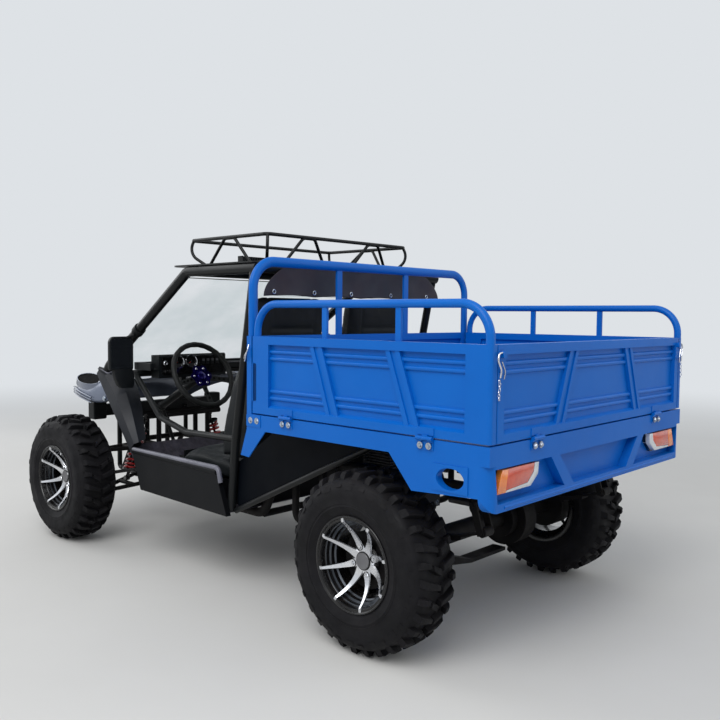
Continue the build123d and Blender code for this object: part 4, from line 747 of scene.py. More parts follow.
COLLAR_LENGTH = 0.0518
COLLAR_HEIGHT = 0.0338
collar = lathe([(1.0, 0.0), (1.0, -0.024), (0.965, -0.024), (0.965, 0.0)], 48,
               Matrix.Diagonal((COLLAR_LENGTH, COLLAR_HEIGHT, 1, 1)), close=True)
collar = moved(collar, facing((REAR_X - 0.404, BED_HALF - 0.0005, 0.669), (0, 1, 0)))
piece("skirt_collars", pair(collar), "chassis", [BLUE], smooth=40)


# Tail lamps

LAMP_BACK = BED_REAR + 0.0335
LAMP_FACE = BED_REAR + 0.004
LAMP_SPLIT_Y = 0.54
LAMP_SPLIT_Z = 0.66
BEZEL_GROWTH = 0.004
AMBER_CELL = ((0.660, 0.634), (0.632, 0.706), (0.598, 0.706), (0.612, 0.634))
ORANGE_CELL = ((0.6115, 0.6405), (0.5985, 0.706), (0.446, 0.706), (0.452, 0.678), (0.488, 0.6475))
CLEAR_STRIP = ((0.4455, 0.706), (0.420, 0.706), (0.424, 0.668), (0.470, 0.634), (0.6115, 0.634),
               (0.6112, 0.640), (0.4875, 0.647), (0.4515, 0.6778))
BEZEL_LINE = ((0.660, 0.634), (0.632, 0.706), (0.420, 0.706), (0.424, 0.668), (0.470, 0.634))


def lamp_part(outline, index):
    """Lens cell in the rear panel's plane, from an outline of Y and Z, with a crowned face."""
    n = len(outline)
    cy = sum(p[0] for p in outline) / n
    cz = sum(p[1] for p in outline) / n
    rows = []
    for x, share in ((LAMP_BACK, 1.0), (LAMP_FACE + 0.004, 1.0), (LAMP_FACE + 0.001, 0.985),
                     (LAMP_FACE, 0.95)):
        rows.append([(x, cy + (y - cy) * share, cz + (z - cz) * share) for y, z in outline])
    return solid(rows, index)


lamps = [pair(lamp_part(outline, k)) for k, outline in enumerate((AMBER_CELL, ORANGE_CELL, CLEAR_STRIP))]
grown = [(y + (BEZEL_GROWTH if y > LAMP_SPLIT_Y else -BEZEL_GROWTH),
          z + (BEZEL_GROWTH if z > LAMP_SPLIT_Z else -BEZEL_GROWTH)) for y, z in BEZEL_LINE]
lamps.append(pair(slab(grown, 0.012, at(BED_REAR + 0.0215, 0, 0) @ REAR, 3)))
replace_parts(piece("tail_lamp_lenses", merge(*lamps), "chassis", [AMBER, ORANGE, CLEAR, GLOSS_PLASTIC],
                  smooth=50), "tail_lamps")


# Front springs

SHOCK_LOW = Vector((FRONT_X, 0.3323, 0.2588))
SHOCK_HIGH = Vector((FRONT_X, 0.220, 0.574))
SHOCK_LINE = (SHOCK_HIGH - SHOCK_LOW).normalized()
SHOCK_LENGTH = (SHOCK_HIGH - SHOCK_LOW).length
SPRING_FROM = 0.054
SPRING_TO = SHOCK_LENGTH - 0.062
SPRING_R = 0.0285
WIRE_R = 0.0062
COILS = 8.5


def helix(start, end, radius, wire, coils, sides=10, per_turn=28):
    """Coil spring between two points, with its end turns closed up."""
    a, b = Vector(start), Vector(end)
    length = (b - a).length
    total = int(coils * per_turn)
    line = []
    for k in range(total + 1):
        t = k / total
        turn = 2 * pi * coils * t
        eased = t - 0.055 * sin(2 * pi * t)
        line.append(Vector((radius * cos(turn), radius * sin(turn), length * eased)))
    rows = []
    for k, p in enumerate(line):
        along = (line[min(k + 1, total)] - line[max(k - 1, 0)]).normalized()
        out = Vector((p.x, p.y, 0)).normalized()
        up = along.cross(out).normalized()
        rows.append([p + wire * (c * out + s * up) for c, s in turns(sides)])
    return moved(solid(rows), facing(a, b - a))


def coil_over():
    """Left front spring on its damper, with both spring plates and both eyes."""
    place = facing(SHOCK_LOW, SHOCK_LINE)
    spring = helix(SHOCK_LOW + SHOCK_LINE * SPRING_FROM, SHOCK_LOW + SHOCK_LINE * SPRING_TO, SPRING_R, WIRE_R,
                   COILS)
    core = [(0, 0.0), (0.009, 0.0), (0.009, 0.036), (0.020, 0.040), (0.0215, 0.044),
            (0.0215, SHOCK_LENGTH * 0.55), (0.018, SHOCK_LENGTH * 0.56), (0.007, SHOCK_LENGTH * 0.57),
            (0.007, SHOCK_LENGTH - 0.03), (0.010, SHOCK_LENGTH - 0.028), (0.010, SHOCK_LENGTH),
            (0, SHOCK_LENGTH)]
    parts = [spring, lathe(core, 28, place, 1)]
    for low in (SPRING_FROM - 0.012, SPRING_TO + 0.006):
        plate = [(0.012, low), (0.037, low), (0.038, low + 0.003), (0.037, low + 0.006), (0.012, low + 0.006)]
        parts.append(lathe(plate, 32, place, 1, close=True))
    eye = [(0.0, -0.013), (0.013, -0.013), (0.0145, -0.011), (0.0145, 0.011), (0.013, 0.013), (0, 0.013)]
    parts += [lathe(eye, 24, facing(point, (0, 1, 0)), 1) for point in (SHOCK_LOW, SHOCK_HIGH)]
    return merge(*parts)


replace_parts(piece("coil_overs", pair(coil_over()), "chassis", [RED, GLOSS_PLASTIC], smooth=40),
            "front_shocks")


# Steering wheel

WHEEL_HUB = Vector((REAR_X + 1.410, 0.300, 0.865))
TILT = radians(27)
WHEEL_FRAME = axes_frame((0, -1, 0), (sin(TILT), 0, cos(TILT)), (-cos(TILT), 0, sin(TILT)), WHEEL_HUB)
GRIP_R = 0.163
ARM_ANGLES = (195, 270, 345)
# Distance out, half width and level of each arm's middle
ARM_LINE = ((0.024, 0.016, -0.023), (0.06, 0.0135, -0.0175), (0.10, 0.012, -0.0105), (0.135, 0.013, -0.004),
            (0.158, 0.017, 0.0))
ARM_ROOT = 0.024
ARM_LENGTH = 0.134
ARM_HOLES = (0.07, 0.097, 0.122)
PLATE_Z = -0.0205
PLATE_STEPS = 72
SCREW_CIRCLE = 0.043
SCREW_Z = -0.0135


def wheel_arm():
    """One arm of the steering wheel with its three rimmed holes, drawn near-black as painted shade instead of
    cut through.
    """
    section = ((1, 0.0015), (1, -0.0025), (-1, -0.0025), (-1, 0.0015))
    arm = solid([[(r, y * w, z + lift) for y, lift in section] for r, w, z in ARM_LINE])
    hole = [(0.0062, 0.0), (0.0062, 0.0012), (0.0045, 0.0014), (0.0045, 0.0003), (0, 0.0003)]
    for r in ARM_HOLES:
        share = (r - ARM_ROOT) / ARM_LENGTH
        arm = merge(arm, lathe(hole, 20, at(r, 0, PLATE_Z + 0.0215 * share + 0.0008), 3))
    return arm


def steering_wheel():
    """Grip with finger swells, three arms, lobed plate, hub cone, cap and screws."""
    parts = [torus(GRIP_R, 0.0139, 96, 16, waves=24, wave=0.0007)]
    parts += [moved(wheel_arm(), spun(angle)) for angle in ARM_ANGLES]
    lobed = []
    for k in range(PLATE_STEPS):
        a = 2 * pi * k / PLATE_STEPS
        r = 0.054 + 0.005 * cos(6 * a)
        lobed.append((r * cos(a), r * sin(a)))
    parts.append(slab(lobed, 0.007, at(0, 0, PLATE_Z), 1))
    cone = [(0, -0.0460), (0.036, -0.0460), (0.0375, -0.044), (0.034, -0.034), (0.040, -0.0215), (0, -0.0215)]
    parts.append(lathe(cone, 40))
    parts.append(lathe([(0.021, -0.0140), (0.021, -0.0105), (0.018, -0.0085), (0.0, -0.0075)], 36, HERE, 1))
    screw = [(0.0058, -0.001), (0.0058, 0.0022), (0.0045, 0.0036), (0.0026, 0.0038), (0.0024, 0.0018),
             (0, 0.0016)]
    parts += [lathe(screw, 20, at(SCREW_CIRCLE * c, SCREW_CIRCLE * s, SCREW_Z), 2) for c, s in turns(6)]
    return moved(merge(*parts), WHEEL_FRAME)


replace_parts(piece("steering_wheel_rim", steering_wheel(), "steering_wheel_body",
                  [LEATHER, BOSS, CHROME, HOLLOW_SHADE], smooth=40), "steering_wheel")


# Dash with its instruments

DASH_X = REAR_X + 1.505
DASH_BAR_X = REAR_X + 1.590
DASH_REAR_X = DASH_BAR_X + 0.058
DASH_LOW = 0.872 + 0.0163
DASH_HALF = 0.538
SHELF_TOP = DASH_LOW + 0.036
HOOD_END = DASH_X + 0.068
NEEDLE_ANGLE = 118
DIAL_MARKS = 24


def gauge(y, z, radius):
    """Round instrument facing the driver: chrome ring, dial with marks, needle and pivot."""
    ring = [(radius * 0.86, 0.0), (radius * 0.86, 0.005), (radius * 0.9, 0.009), (radius * 0.98, 0.0085),
            (radius, 0.004), (radius, -0.006)]
    parts = [lathe(ring, 48), lathe([(0, 0.001), (radius * 0.88, 0.001)], 48, HERE, 1)]
    for k in range(DIAL_MARKS + 1):
        half, tall = (0.0012, radius * 0.14) if k % 4 == 0 else (0.0007, radius * 0.08)
        turn = spun(-130 + 260 * k / DIAL_MARKS)
        parts.append(slab([(-half, 0), (half, 0), (half, tall), (-half, tall)], 0.0004,
                          turn @ at(0, radius * 0.83 - tall, 0.0012), 2))
    needle = [(-0.0012, -0.006), (0.0012, -0.006), (0.0004, radius * 0.66), (-0.0004, radius * 0.66)]
    parts.append(slab(needle, 0.0006, spun(NEEDLE_ANGLE) @ at(0, 0, 0.0022), 3))
    parts.append(lathe([(0.0045, 0.001), (0.0045, 0.003), (0.0035, 0.004), (0, 0.0042)], 20, HERE, 4))
    return moved(merge(*parts), facing((DASH_X - 0.001, y, z), (-1, 0, 0.18)))


def on_dash(depth, y, z, lean=0):
    """Frame on the dash's face, looking at the driver."""
    return facing((DASH_X - depth, y, z), (-1, 0, lean))


def dash_shell():
    """Shelf with its rims, the instrument hood, its fascia and the tray rail."""
    shelf = (DASH_LOW, SHELF_TOP)
    deep = (DASH_X, DASH_BAR_X + 0.03)
    hood_side = [(DASH_X, 0.850), (DASH_X + 0.002, 0.955), (DASH_X + 0.010, 0.964), (HOOD_END, 0.960),
                 (HOOD_END, 0.850)]
    return [block((DASH_X, DASH_REAR_X), (-DASH_HALF, DASH_HALF), (DASH_LOW, DASH_LOW + 0.006), 4),
            block((DASH_X, DASH_X + 0.008), (-DASH_HALF, 0.09), (DASH_LOW, DASH_LOW + 0.022), 4),
            block((DASH_BAR_X + 0.022, DASH_REAR_X), (-DASH_HALF, DASH_HALF), shelf, 4),
            block(deep, (-DASH_HALF, -0.520), shelf, 4),
            block(deep, (0.520, DASH_HALF), shelf, 4),
            block(deep, (0.078, 0.096), shelf, 4),
            slab(hood_side, 0.400, at(0, 0.490, 0) @ SIDE, 4),
            round_plate(0.372, 0.086, 0.014, 0.003, on_dash(0.0005, 0.290, 0.908), 5),
            pipe([(DASH_X + 0.004, y, DASH_LOW + 0.026) for y in (-0.534, 0.084)], 0.005, index=6)]


def dash_switches():
    """Four rockers, the key and two knobs."""
    parts = []
    for k in range(4):
        y = 0.235 - 0.028 * k
        parts += [round_plate(0.020, 0.030, 0.003, 0.004, on_dash(0.003, y, 0.925), 4),
                  round_plate(0.014, 0.011, 0.002, 0.003, on_dash(0.0068, y, 0.932, 0.2), 6)]
    key = [(0.0, 0.0), (0.013, 0.0), (0.013, 0.006), (0.0105, 0.009), (0.007, 0.009), (0.006, 0.006),
           (0, 0.006)]
    parts.append(lathe(key, 28, on_dash(0.001, 0.456, 0.922)))
    knob = [(0, 0), (0.009, 0), (0.0095, 0.010), (0.008, 0.014), (0, 0.0145)]
    return parts + [lathe(knob, 24, on_dash(0.001, y, 0.880), 5) for y in (0.456, 0.43)]


dials = [gauge(y, 0.926, 0.034) for y in (0.385, 0.307)]
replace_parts(piece("dash_panel", merge(*dash_shell(), *dials, *dash_switches()), "chassis",
                  [CHROME, DIAL, MARK, RED, PLASTIC, GLOSS_PLASTIC, GREY_TRIM], smooth=40,
                  bevel=0.0014), "dash")


# Mirrors

MIRROR_X = REAR_X + 1.560
MIRROR_Y = 0.666
MIRROR_Z = 0.974
CLAMP_SHARE = 0.55
# Level, half width and inward shift of the box under each mirror
MIRROR_BOX = ((0.899, 0.047, -0.008), (0.880, 0.050, -0.012), (0.850, 0.048, -0.018), (0.822, 0.040, -0.024),
              (0.810, 0.030, -0.028))


def mirror_outline(half, low, high, bend, foot):
    """Mirror face outline: round top corners, nearly square foot."""
    points = [(-half, low + foot), (-half + foot, low), (half - foot, low), (half, low + foot)]
    for turn, cx in ((0, half - bend), (90, bend - half)):
        for k in range(7):
            a = radians(turn + 15 * k)
            points.append((cx + bend * cos(a), high - bend + bend * sin(a)))
    return points


def mirror_head(side):
    """Upright mirror with dark glass and the box below it, on its stalk and clamp."""
    x, yc = MIRROR_X, side * MIRROR_Y
    shell = []
    for dx, grow in ((0.0148, 0.80), (0.010, 0.95), (0.002, 1.0), (-0.0130, 1.0), (-0.0149, 0.975)):
        outline = mirror_outline(0.0615 * grow, -0.077 * grow, 0.080 * grow, 0.026, 0.004)
        shell.append([(x + dx, yc + a, MIRROR_Z + b) for a, b in outline])
    pane = slab(mirror_outline(0.0555, -0.071, 0.074, 0.021, 0.003), 0.0012,
                facing((x - 0.0145, yc, MIRROR_Z), (-1, 0, 0)), 1)
    box_rows = []
    for z, half, shift in MIRROR_BOX:
        mid = side * (0.664 + shift)
        section = ((0.012, -half), (0.012, half), (0.004, half + 0.004), (-0.012, half),
                   (-0.015, half - 0.006), (-0.015, -half + 0.006), (-0.012, -half), (0.004, -half - 0.004))
        box_rows.append([(x + dx, mid + dy, z) for dx, dy in section])
    stalk = [(x - 0.004, side * 0.602, 1.000), (x - 0.002, side * 0.618, 1.012), (x, side * 0.648, 1.015)]
    clamp = [(0.0235, -0.017), (0.0285, -0.017), (0.0285, 0.017), (0.0235, 0.017)]
    place = facing((REAR_X + 1.137 + CLAMP_SHARE * 0.728, side * 0.58, TOP_TUBE_Z - CLAMP_SHARE * 0.483),
                   (0.833, 0, -0.553))
    link = [(x - 0.022, side * 0.606, 1.060), (x - 0.010, side * 0.640, 1.048),
            (x - 0.004, side * 0.652, 1.03)]
    return merge(solid(shell), pane, solid(box_rows),
                 pipe(stalk, 0.006, 0.01), lathe(clamp, 32, place, close=True), pipe(link, 0.0065, 0.012))


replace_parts(piece("mirror_pair", merge(mirror_head(1), mirror_head(-1)), "chassis", [PLASTIC, GLASS_DARK],
                  smooth=40), "mirrors")


# Knee fairings: bent sheets over the front cage legs

# Stations down the leg: share of the way, front and rear reach from its axis, inner edge of the rear flange
FAIRING_STATIONS = (
    (0.0, 0.030, 0.014, 0.6030),
    (0.12, 0.030, 0.050, 0.560),
    (0.22, 0.030, 0.066, 0.480),
    (0.40, 0.029, 0.072, 0.486),
    (0.62, 0.028, 0.064, 0.506),
    (0.96, 0.028, 0.044, 0.545),
)
FAIRING_Y = 0.6065
FAIRING_INNER_Y = 0.572
LEG_TOP = Vector((REAR_X + 1.868, 0, 0.878))
LEG_FOOT = Vector((REAR_X + 1.548, 0, 0.508))
LEG_BACK = Vector((-0.756, 0, 0.654))
SILL_ROLL_Y = 0.6045
SILL_ROLL_Z = 0.5125


def fairing_points(share, front, rear, inner):
    """Edge points of the bent sheet at one station, from the front edge round to the inner flange."""
    mid = LEG_TOP + (LEG_FOOT - LEG_TOP) * share
    a, b = mid - LEG_BACK * front, mid + LEG_BACK * rear
    fold = mid + LEG_BACK * rear * 0.55
    return [(a.x, FAIRING_INNER_Y, a.z), (a.x, FAIRING_Y, a.z), (fold.x, FAIRING_Y + 0.0012, fold.z),
            (b.x, (FAIRING_Y + inner) / 2 + 0.014, b.z - 0.004), (b.x + 0.010, inner, b.z + 0.008)]


fairing_rows = [fairing_points(*station) for station in FAIRING_STATIONS]
sheets = piece("fairing_sheets", pair(grid(fairing_rows)), "chassis", [FAIRING], smooth=14)
add_modifier(sheets, "thick", "SOLIDIFY", thickness=0.003)
add_modifier(sheets, "edge", "BEVEL", width=0.003, segments=3, limit_method="ANGLE")
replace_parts(sheets, "knee_fairings")

# Rolled edges coloured light grey as a painted highlight of the dark rolled sheet: along each sill, up to the
# fairing's foot, and round the fairing's mouth
sill_line = [(REAR_X + 0.868, SILL_ROLL_Y, 0.452), (REAR_X + 0.884, SILL_ROLL_Y, SILL_ROLL_Z),
             (REAR_X + 1.548, SILL_ROLL_Y, SILL_ROLL_Z)]
mouth = [fairing_rows[i][j] for i, j in ((0, 2), (1, 3), (1, 4), (2, 4))]
left_roll = merge(pipe(sill_line, 0.0105, sides=20), pipe(mouth, 0.0038, 0.01, 8))
piece("sill_roll_highlights", pair(left_roll), "chassis", [ROLL_HIGHLIGHT], smooth=50)


# Cowl

# Rows from the screen to the nose: reach ahead of the front axle, then Y and Z from the middle out and down
COWL_ROWS = (
    (-0.19, ((0, 0.850), (0.18, 0.845), (0.30, 0.812), (0.42, 0.824), (0.505, 0.822), (0.514, 0.704))),
    (-0.05, ((0, 0.846), (0.18, 0.840), (0.31, 0.802), (0.46, 0.822), (0.552, 0.812), (0.560, 0.692))),
    (0.07, ((0, 0.836), (0.17, 0.829), (0.30, 0.790), (0.47, 0.814), (0.560, 0.802), (0.566, 0.716))),
    (0.16, ((0, 0.820), (0.15, 0.812), (0.27, 0.770), (0.45, 0.796), (0.548, 0.786), (0.552, 0.736))),
    (0.24, ((0, 0.797), (0.13, 0.789), (0.23, 0.748), (0.39, 0.762), (0.486, 0.756), (0.492, 0.738))),
    (0.325, ((0, 0.764), (0.10, 0.757), (0.18, 0.724), (0.25, 0.708), (0.290, 0.690), (0.294, 0.655))),
)
NOSE_X = FRONT_X + 0.327
VENT_RING = ((0.076, -0.032), (0.062, -0.004), (0.060, 0.0015), (0.056, 0.001), (0.054, -0.002), (0, -0.003))
VENT_SIDES = 40
VENT_RIM_BANDS = 3
VENT_SHAPE = Matrix.Diagonal((0.72, 1.70, 1, 1))


def cowl_skin():
    """Nose panel from its rows, with the turned-down front lip."""
    rows = []
    for dx, half in COWL_ROWS:
        right = [(-y, z) for y, z in half[:0:-1]]
        rows.append([(FRONT_X + dx, y, z) for y, z in right + list(half)])
    lip = [(NOSE_X, y * 0.96, min(z, 0.700) - 0.045) for x, y, z in rows[-1]]
    return grid(rows + [lip])


def cowl_details():
    """Oval vents whose mouths are closed near-black as painted shade, side bolts and the ridges of the
    fenders' folded lips.
    """
    vent = lathe(VENT_RING, VENT_SIDES, VENT_SHAPE)
    # The inner bands and closed floor of each vent take the painted shade
    vent["m"] = [int(k >= VENT_RIM_BANDS * VENT_SIDES) for k in range(len(vent["f"]))]
    parts = []
    for side in (-1, 1):
        place = facing((FRONT_X + 0.035, side * 0.5290, 0.8150), (-0.16, side * 0.62, 1), (1, 0, 0))
        parts += [moved(vent, place),
                  bolt_head((FRONT_X - 0.13, side * 0.537, 0.722), (0, side, 0.1), 0.009, 2)]
    for lift in (0.0, 0.014, 0.028):
        lip = [(FRONT_X + 0.238, 0.492, 0.742 + lift * 0.5), (FRONT_X + 0.16, 0.5555, 0.739 + lift),
               (FRONT_X + 0.07, 0.5695, 0.719 + lift), (FRONT_X - 0.045, 0.5630, 0.695 + lift)]
        parts.append(pair(pipe(lip, 0.0032, 0.03, 8)))
    return merge(*parts)


cowl = piece("cowl", cowl_skin(), "chassis", [COWL], smooth=60)
add_modifier(cowl, "smooth", "SUBSURF", levels=3, render_levels=3)
add_modifier(cowl, "thick", "SOLIDIFY", thickness=0.004)
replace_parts(cowl, "bonnet")
piece("cowl_vents", cowl_details(), "chassis", [COWL, HOLLOW_SHADE, ZINC], smooth=40)

# End blocks of the cross beam ahead of the springs
ends = [block((FRONT_X + 0.166, FRONT_X + 0.236), sorted((side * 0.352, side * 0.432)), (0.572, 0.672))
        for side in (-1, 1)]
piece("beam_ends", merge(*ends), "chassis", [PLASTIC], bevel=0.010, bevel_steps=3)


# Headlamps

HEADLAMP_X = FRONT_X + 0.3303
HEADLAMP_Y = 0.180
HEADLAMP_Z = 0.6875
HEADLAMP_WIDE = 0.138
HEADLAMP_TALL = 0.054


def lamp_shell(side, levels, corner, index):
    """Round-cornered shell through levels of reach ahead and share of the lamp's size."""
    rows = []
    for dx, grow in levels:
        outline = round_rect(HEADLAMP_WIDE * grow, HEADLAMP_TALL * grow, corner)
        rows.append([(HEADLAMP_X + dx, side * HEADLAMP_Y + a, HEADLAMP_Z + b) for a, b in outline])
    return solid(rows, index)


head = []
for side in (-1, 1):
    head += [lamp_shell(side, ((0.0, 0.98), (0.010, 1.0), (0.014, 0.97)), 0.020, 0),
             lamp_shell(side, ((0.012, 0.90), (0.018, 0.88), (0.0215, 0.78), (0.022, 0.6)), 0.016, 1)]
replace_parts(piece("headlamp_pair", merge(*head), "chassis", [GLOSS_PLASTIC, CLEAR], smooth=40),
            "headlamps")


# Light bar

BAR_FOOT_Z = TOP_TUBE_Z + TUBE_R + CLEARANCE + ROOF_SHEET + CLEARANCE
BAR_FRONT_X = REAR_X + 1.197
LED_COUNT = 16
LED_PITCH = 0.030
FIN_COUNT = 33
FIN_PITCH = 0.015


def light_bar():
    """Case with lenses ahead, cooling fins behind, feet and end plates."""
    def box(x0, x1, y, half, z0, z1):
        return block((REAR_X + x0, REAR_X + x1), (y - half, y + half), (BAR_FOOT_Z + z0, BAR_FOOT_Z + z1))

    parts = [box(1.166, 1.197, 0.0, 0.246, 0.016, 0.060)]
    lens = [(0.0125, -0.001), (0.0125, 0.003), (0.006, 0.0012), (0.0045, 0.0022), (0, 0.003)]
    for k in range(LED_COUNT):
        spot = (BAR_FRONT_X, -0.225 + LED_PITCH * k, BAR_FOOT_Z + 0.038)
        parts.append(lathe(lens, 16, facing(spot, (1, 0, 0)), 1))
    parts += [box(1.160, 1.167, -0.240 + FIN_PITCH * k, 0.0015, 0.018, 0.058) for k in range(FIN_COUNT)]
    for side in (-1, 1):
        parts += [box(1.172, 1.192, side * 0.202, 0.012, 0.0, 0.016),
                  box(1.163, 1.200, side * 0.248, 0.003, 0.014, 0.062)]
    return merge(*parts)


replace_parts(piece("roof_light_bar", light_bar(), "chassis", [PLASTIC, LED], smooth=40,
                  bevel=0.001), "light_bar")


# Canvas curtain

CANVAS_CUT = 0.24
CANVAS_HALF = 0.569
CANVAS_TOP = 1.3705
CANVAS_LOW = 1.237
REAR_TUBE_X = REAR_X + 0.655
HEM_HALF = 0.565
EYELET_YS = (0.517, 0.292, 0.065, -0.204, -0.472)


def curtain(columns=150, levels=26):
    """Short coated canvas under the roof's rear edge, with shallow folds between its fixings."""
    x = REAR_TUBE_X - 0.0235
    rows = []
    for j in range(levels + 1):
        t = j / levels
        row = []
        for i in range(columns + 1):
            s = i / columns
            y = (CANVAS_HALF - 2 * CANVAS_HALF * s) * (1 - CANVAS_CUT * (1 - t) ** 2)
            fold = 0.0032 * t * sin(9.5 * pi * s + 0.8 * sin(7 * s)) + 0.0014 * t * sin(31 * s + 2.0)
            sag = 0.006 * sin(pi * ((s * 4) % 1.0)) * t
            row.append((x + fold - 0.0012 * t, y, CANVAS_TOP + (CANVAS_LOW - CANVAS_TOP) * t + sag))
        rows.append(row)
    return grid(rows)


cloth = piece("curtain", curtain(), "chassis", [CANVAS], smooth=60)
add_modifier(cloth, "thick", "SOLIDIFY", thickness=0.0012)
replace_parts(cloth, "rear_canvas")
hem = [pipe([(REAR_TUBE_X - 0.0265, y, z) for y in (HEM_HALF, -HEM_HALF)], 0.0007, sides=6)
       for z in (1.2405, 1.2455)]
EYELET = ((0.0055, 0.0), (0.0095, 0.0), (0.0100, 0.0012), (0.0075, 0.0022), (0.0055, 0.0012))
rings = [lathe(EYELET, 24, facing((REAR_TUBE_X - 0.0262, y, 1.2560), (-1, 0, 0)), close=True)
         for y in EYELET_YS]
eyelets = piece("curtain_eyelets", merge(*rings), "chassis", [ZINC], smooth=40)
stitches = piece("curtain_hem", merge(*hem), "chassis", [CANVAS])


# Seats

SEAT_Y = 0.285
SEAT_HALF = 0.207
SEAT_SHARES = (0.15, 0.36, 0.55, 0.68, 0.8, 0.9, 0.97, 1.0)
SEAM_Y = 0.128
SEAM_DEPTH = 0.004
SEAM_WIDTH = 0.006
PRESSURE = 4.0
VOXEL = 0.009
SWELL_CAP = 0.008
CLOTH_FRAMES = 15
# Seat back: rows of height, front line without its roll, and how far the roll stands ahead of it
BACK_FRONT = (
    (0.534, 0.978, 0.064), (0.580, 0.966, 0.076), (0.640, 0.952, 0.084), (0.720, 0.933, 0.079),
    (0.800, 0.914, 0.068), (0.870, 0.898, 0.056), (0.940, 0.882, 0.032), (0.985, 0.871, 0.010),
    (1.060, 0.857, 0.0), (1.140, 0.843, 0.0), (1.205, 0.834, 0.0), (1.236, 0.818, 0.0),
)
BACK_REAR = ((1.245, 0.790), (1.236, 0.766), (1.140, 0.772), (1.000, 0.789), (0.860, 0.806), (0.720, 0.822),
             (0.600, 0.837), (0.534, 0.846))


def back_section(share):
    """Side-view outline of the seat back at a share of its half width."""
    roll = max(0.0, min(1.0, (abs(share) - 0.66) / 0.14))
    edge = abs(share) ** 8
    line = [(x + stand * roll, z) for z, x, stand in BACK_FRONT] + [(x, z) for z, x in BACK_REAR]
    return [(x + (0.92 - 0.185 * (z - 0.534) - x) * 0.36 * edge, z + (0.80 - z) * 0.035 * edge)
            for x, z in line]


def cushion_section(share):
    """Side-view outline of the cushion at a share of its half width."""
    roll = max(0.0, (abs(share) - 0.62) / 0.38) ** 1.2
    edge = abs(share) ** 6
    crown = 0.018 * (1 - share * share)
    top = [(0.880, 0.492), (0.940, 0.500 + crown * 0.5 + 0.012 * roll), (1.030, 0.502 + crown + 0.020 * roll),
           (1.130, 0.508 + crown + 0.024 * roll), (1.230, 0.518 + crown + 0.014 * roll),
           (1.300, 0.519 + crown * 0.5), (1.328, 0.492)]
    low = [(1.318, 0.448), (1.290, 0.433), (1.150, 0.431), (1.000, 0.431), (0.890, 0.434), (0.868, 0.456)]
    return [(x + (1.09 - x) * 0.06 * edge, z + (0.475 - z) * 0.30 * edge) for x, z in top + low]


def simulated(obj):
    """Padded form: remeshed, swollen as cloth under pressure, moves capped."""
    bpy.context.view_layer.objects.active = obj
    for other in bpy.context.selected_objects:
        other.select_set(False)
    obj.select_set(True)
    add_modifier(obj, "remesh", "REMESH", mode="VOXEL", voxel_size=VOXEL)
    bpy.ops.object.modifier_apply(modifier="remesh")
    mesh = obj.data
    rest = np.array([v.co for v in mesh.vertices])
    cloth_mod = obj.modifiers.new("cloth", "CLOTH")
    cloth_mod.settings.use_pressure = True
    cloth_mod.settings.uniform_pressure_force = PRESSURE
    cloth_mod.settings.effector_weights.gravity = 0
    cloth_mod.settings.quality = 5
    scene = bpy.context.scene
    for number in range(1, CLOTH_FRAMES + 1):
        scene.frame_set(number)
    graph = bpy.context.evaluated_depsgraph_get()
    swollen = np.array([v.co for v in obj.evaluated_get(graph).data.vertices])
    obj.modifiers.remove(cloth_mod)
    scene.frame_set(1)
    shift = swollen - rest
    size = np.linalg.norm(shift, axis=1, keepdims=True)
    shift *= np.minimum(1.0, SWELL_CAP / np.maximum(size, 1e-9))
    mesh.vertices.foreach_set("co", (rest + shift).ravel())
    mesh.update()
    mesh.shade_smooth()


def seams_on(obj, lines):
    """Sewn channels: vertices near the given planes sink in."""
    mesh = obj.data
    co = np.array([v.co for v in mesh.vertices])
    normals = np.array([v.normal for v in mesh.vertices])
    pull = np.zeros(len(co))
    for gap in lines:
        pull = np.maximum(pull, np.exp(-(gap(co) / SEAM_WIDTH) ** 2))
    mesh.vertices.foreach_set("co", (co - normals * (pull * SEAM_DEPTH)[:, None]).ravel())
    mesh.update()


def long_seam(offset):
    """Distance from a fore-and-aft seam at this offset from the seat's middle, on either side."""
    return lambda co: np.abs(np.abs(co[:, 1] - SEAT_Y) - offset)


def cross_seam(x, z, dx, dz):
    """Distance from a crosswise seam plane through a point in side view."""
    size = (dx * dx + dz * dz) ** 0.5
    return lambda co: np.abs(((co[:, 0] - REAR_X - x) * dx + (co[:, 2] - z) * dz) / size) + \
        np.maximum(0.0, np.abs(co[:, 1] - SEAT_Y) - 0.125) * 2


def seat_piece(name, section, node, seam_lines):
    """Left pad of one kind from its outlines across the seat."""
    shares = [-s for s in reversed(SEAT_SHARES)] + list(SEAT_SHARES)
    rows = [[(REAR_X + x, SEAT_Y + s * SEAT_HALF, z) for x, z in section(s)] for s in shares]
    obj = piece(name, solid(rows), "chassis", [VINYL], smooth=180)
    bpy.context.view_layer.update()
    simulated(obj)
    seams_on(obj, seam_lines)
    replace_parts(obj, node)
    return obj


back_seams = [long_seam(SEAM_Y)] + [cross_seam(0.9, z, 0.25, 1) for z in (0.66, 0.76, 0.86, 0.97, 1.07)]
base_seams = [long_seam(SEAM_Y)] + [cross_seam(x, 0.52, 1, 0) for x in (1.00, 1.10, 1.20)]
for label, section, seam_lines in (("seat_back", back_section, back_seams),
                                   ("seat_base", cushion_section, base_seams)):
    left = seat_piece(label + "_pad_left", section, label + "_left", seam_lines)
    mesh = left.data.copy()
    mesh.transform(Matrix.Diagonal((1, -1, 1, 1)))
    mesh.flip_normals()
    right = shown(label + "_pad_right", mesh)
    for mod in left.modifiers:
        add_modifier(right, mod.name, mod.type, levels=2, render_levels=2)
    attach(right, "chassis")
    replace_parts(right, label + "_right")


# Engine details inside the block's space

ENGINE_X = REAR_X + 0.300
FIN_LEVELS = 11
FIN_GAP = 0.0125


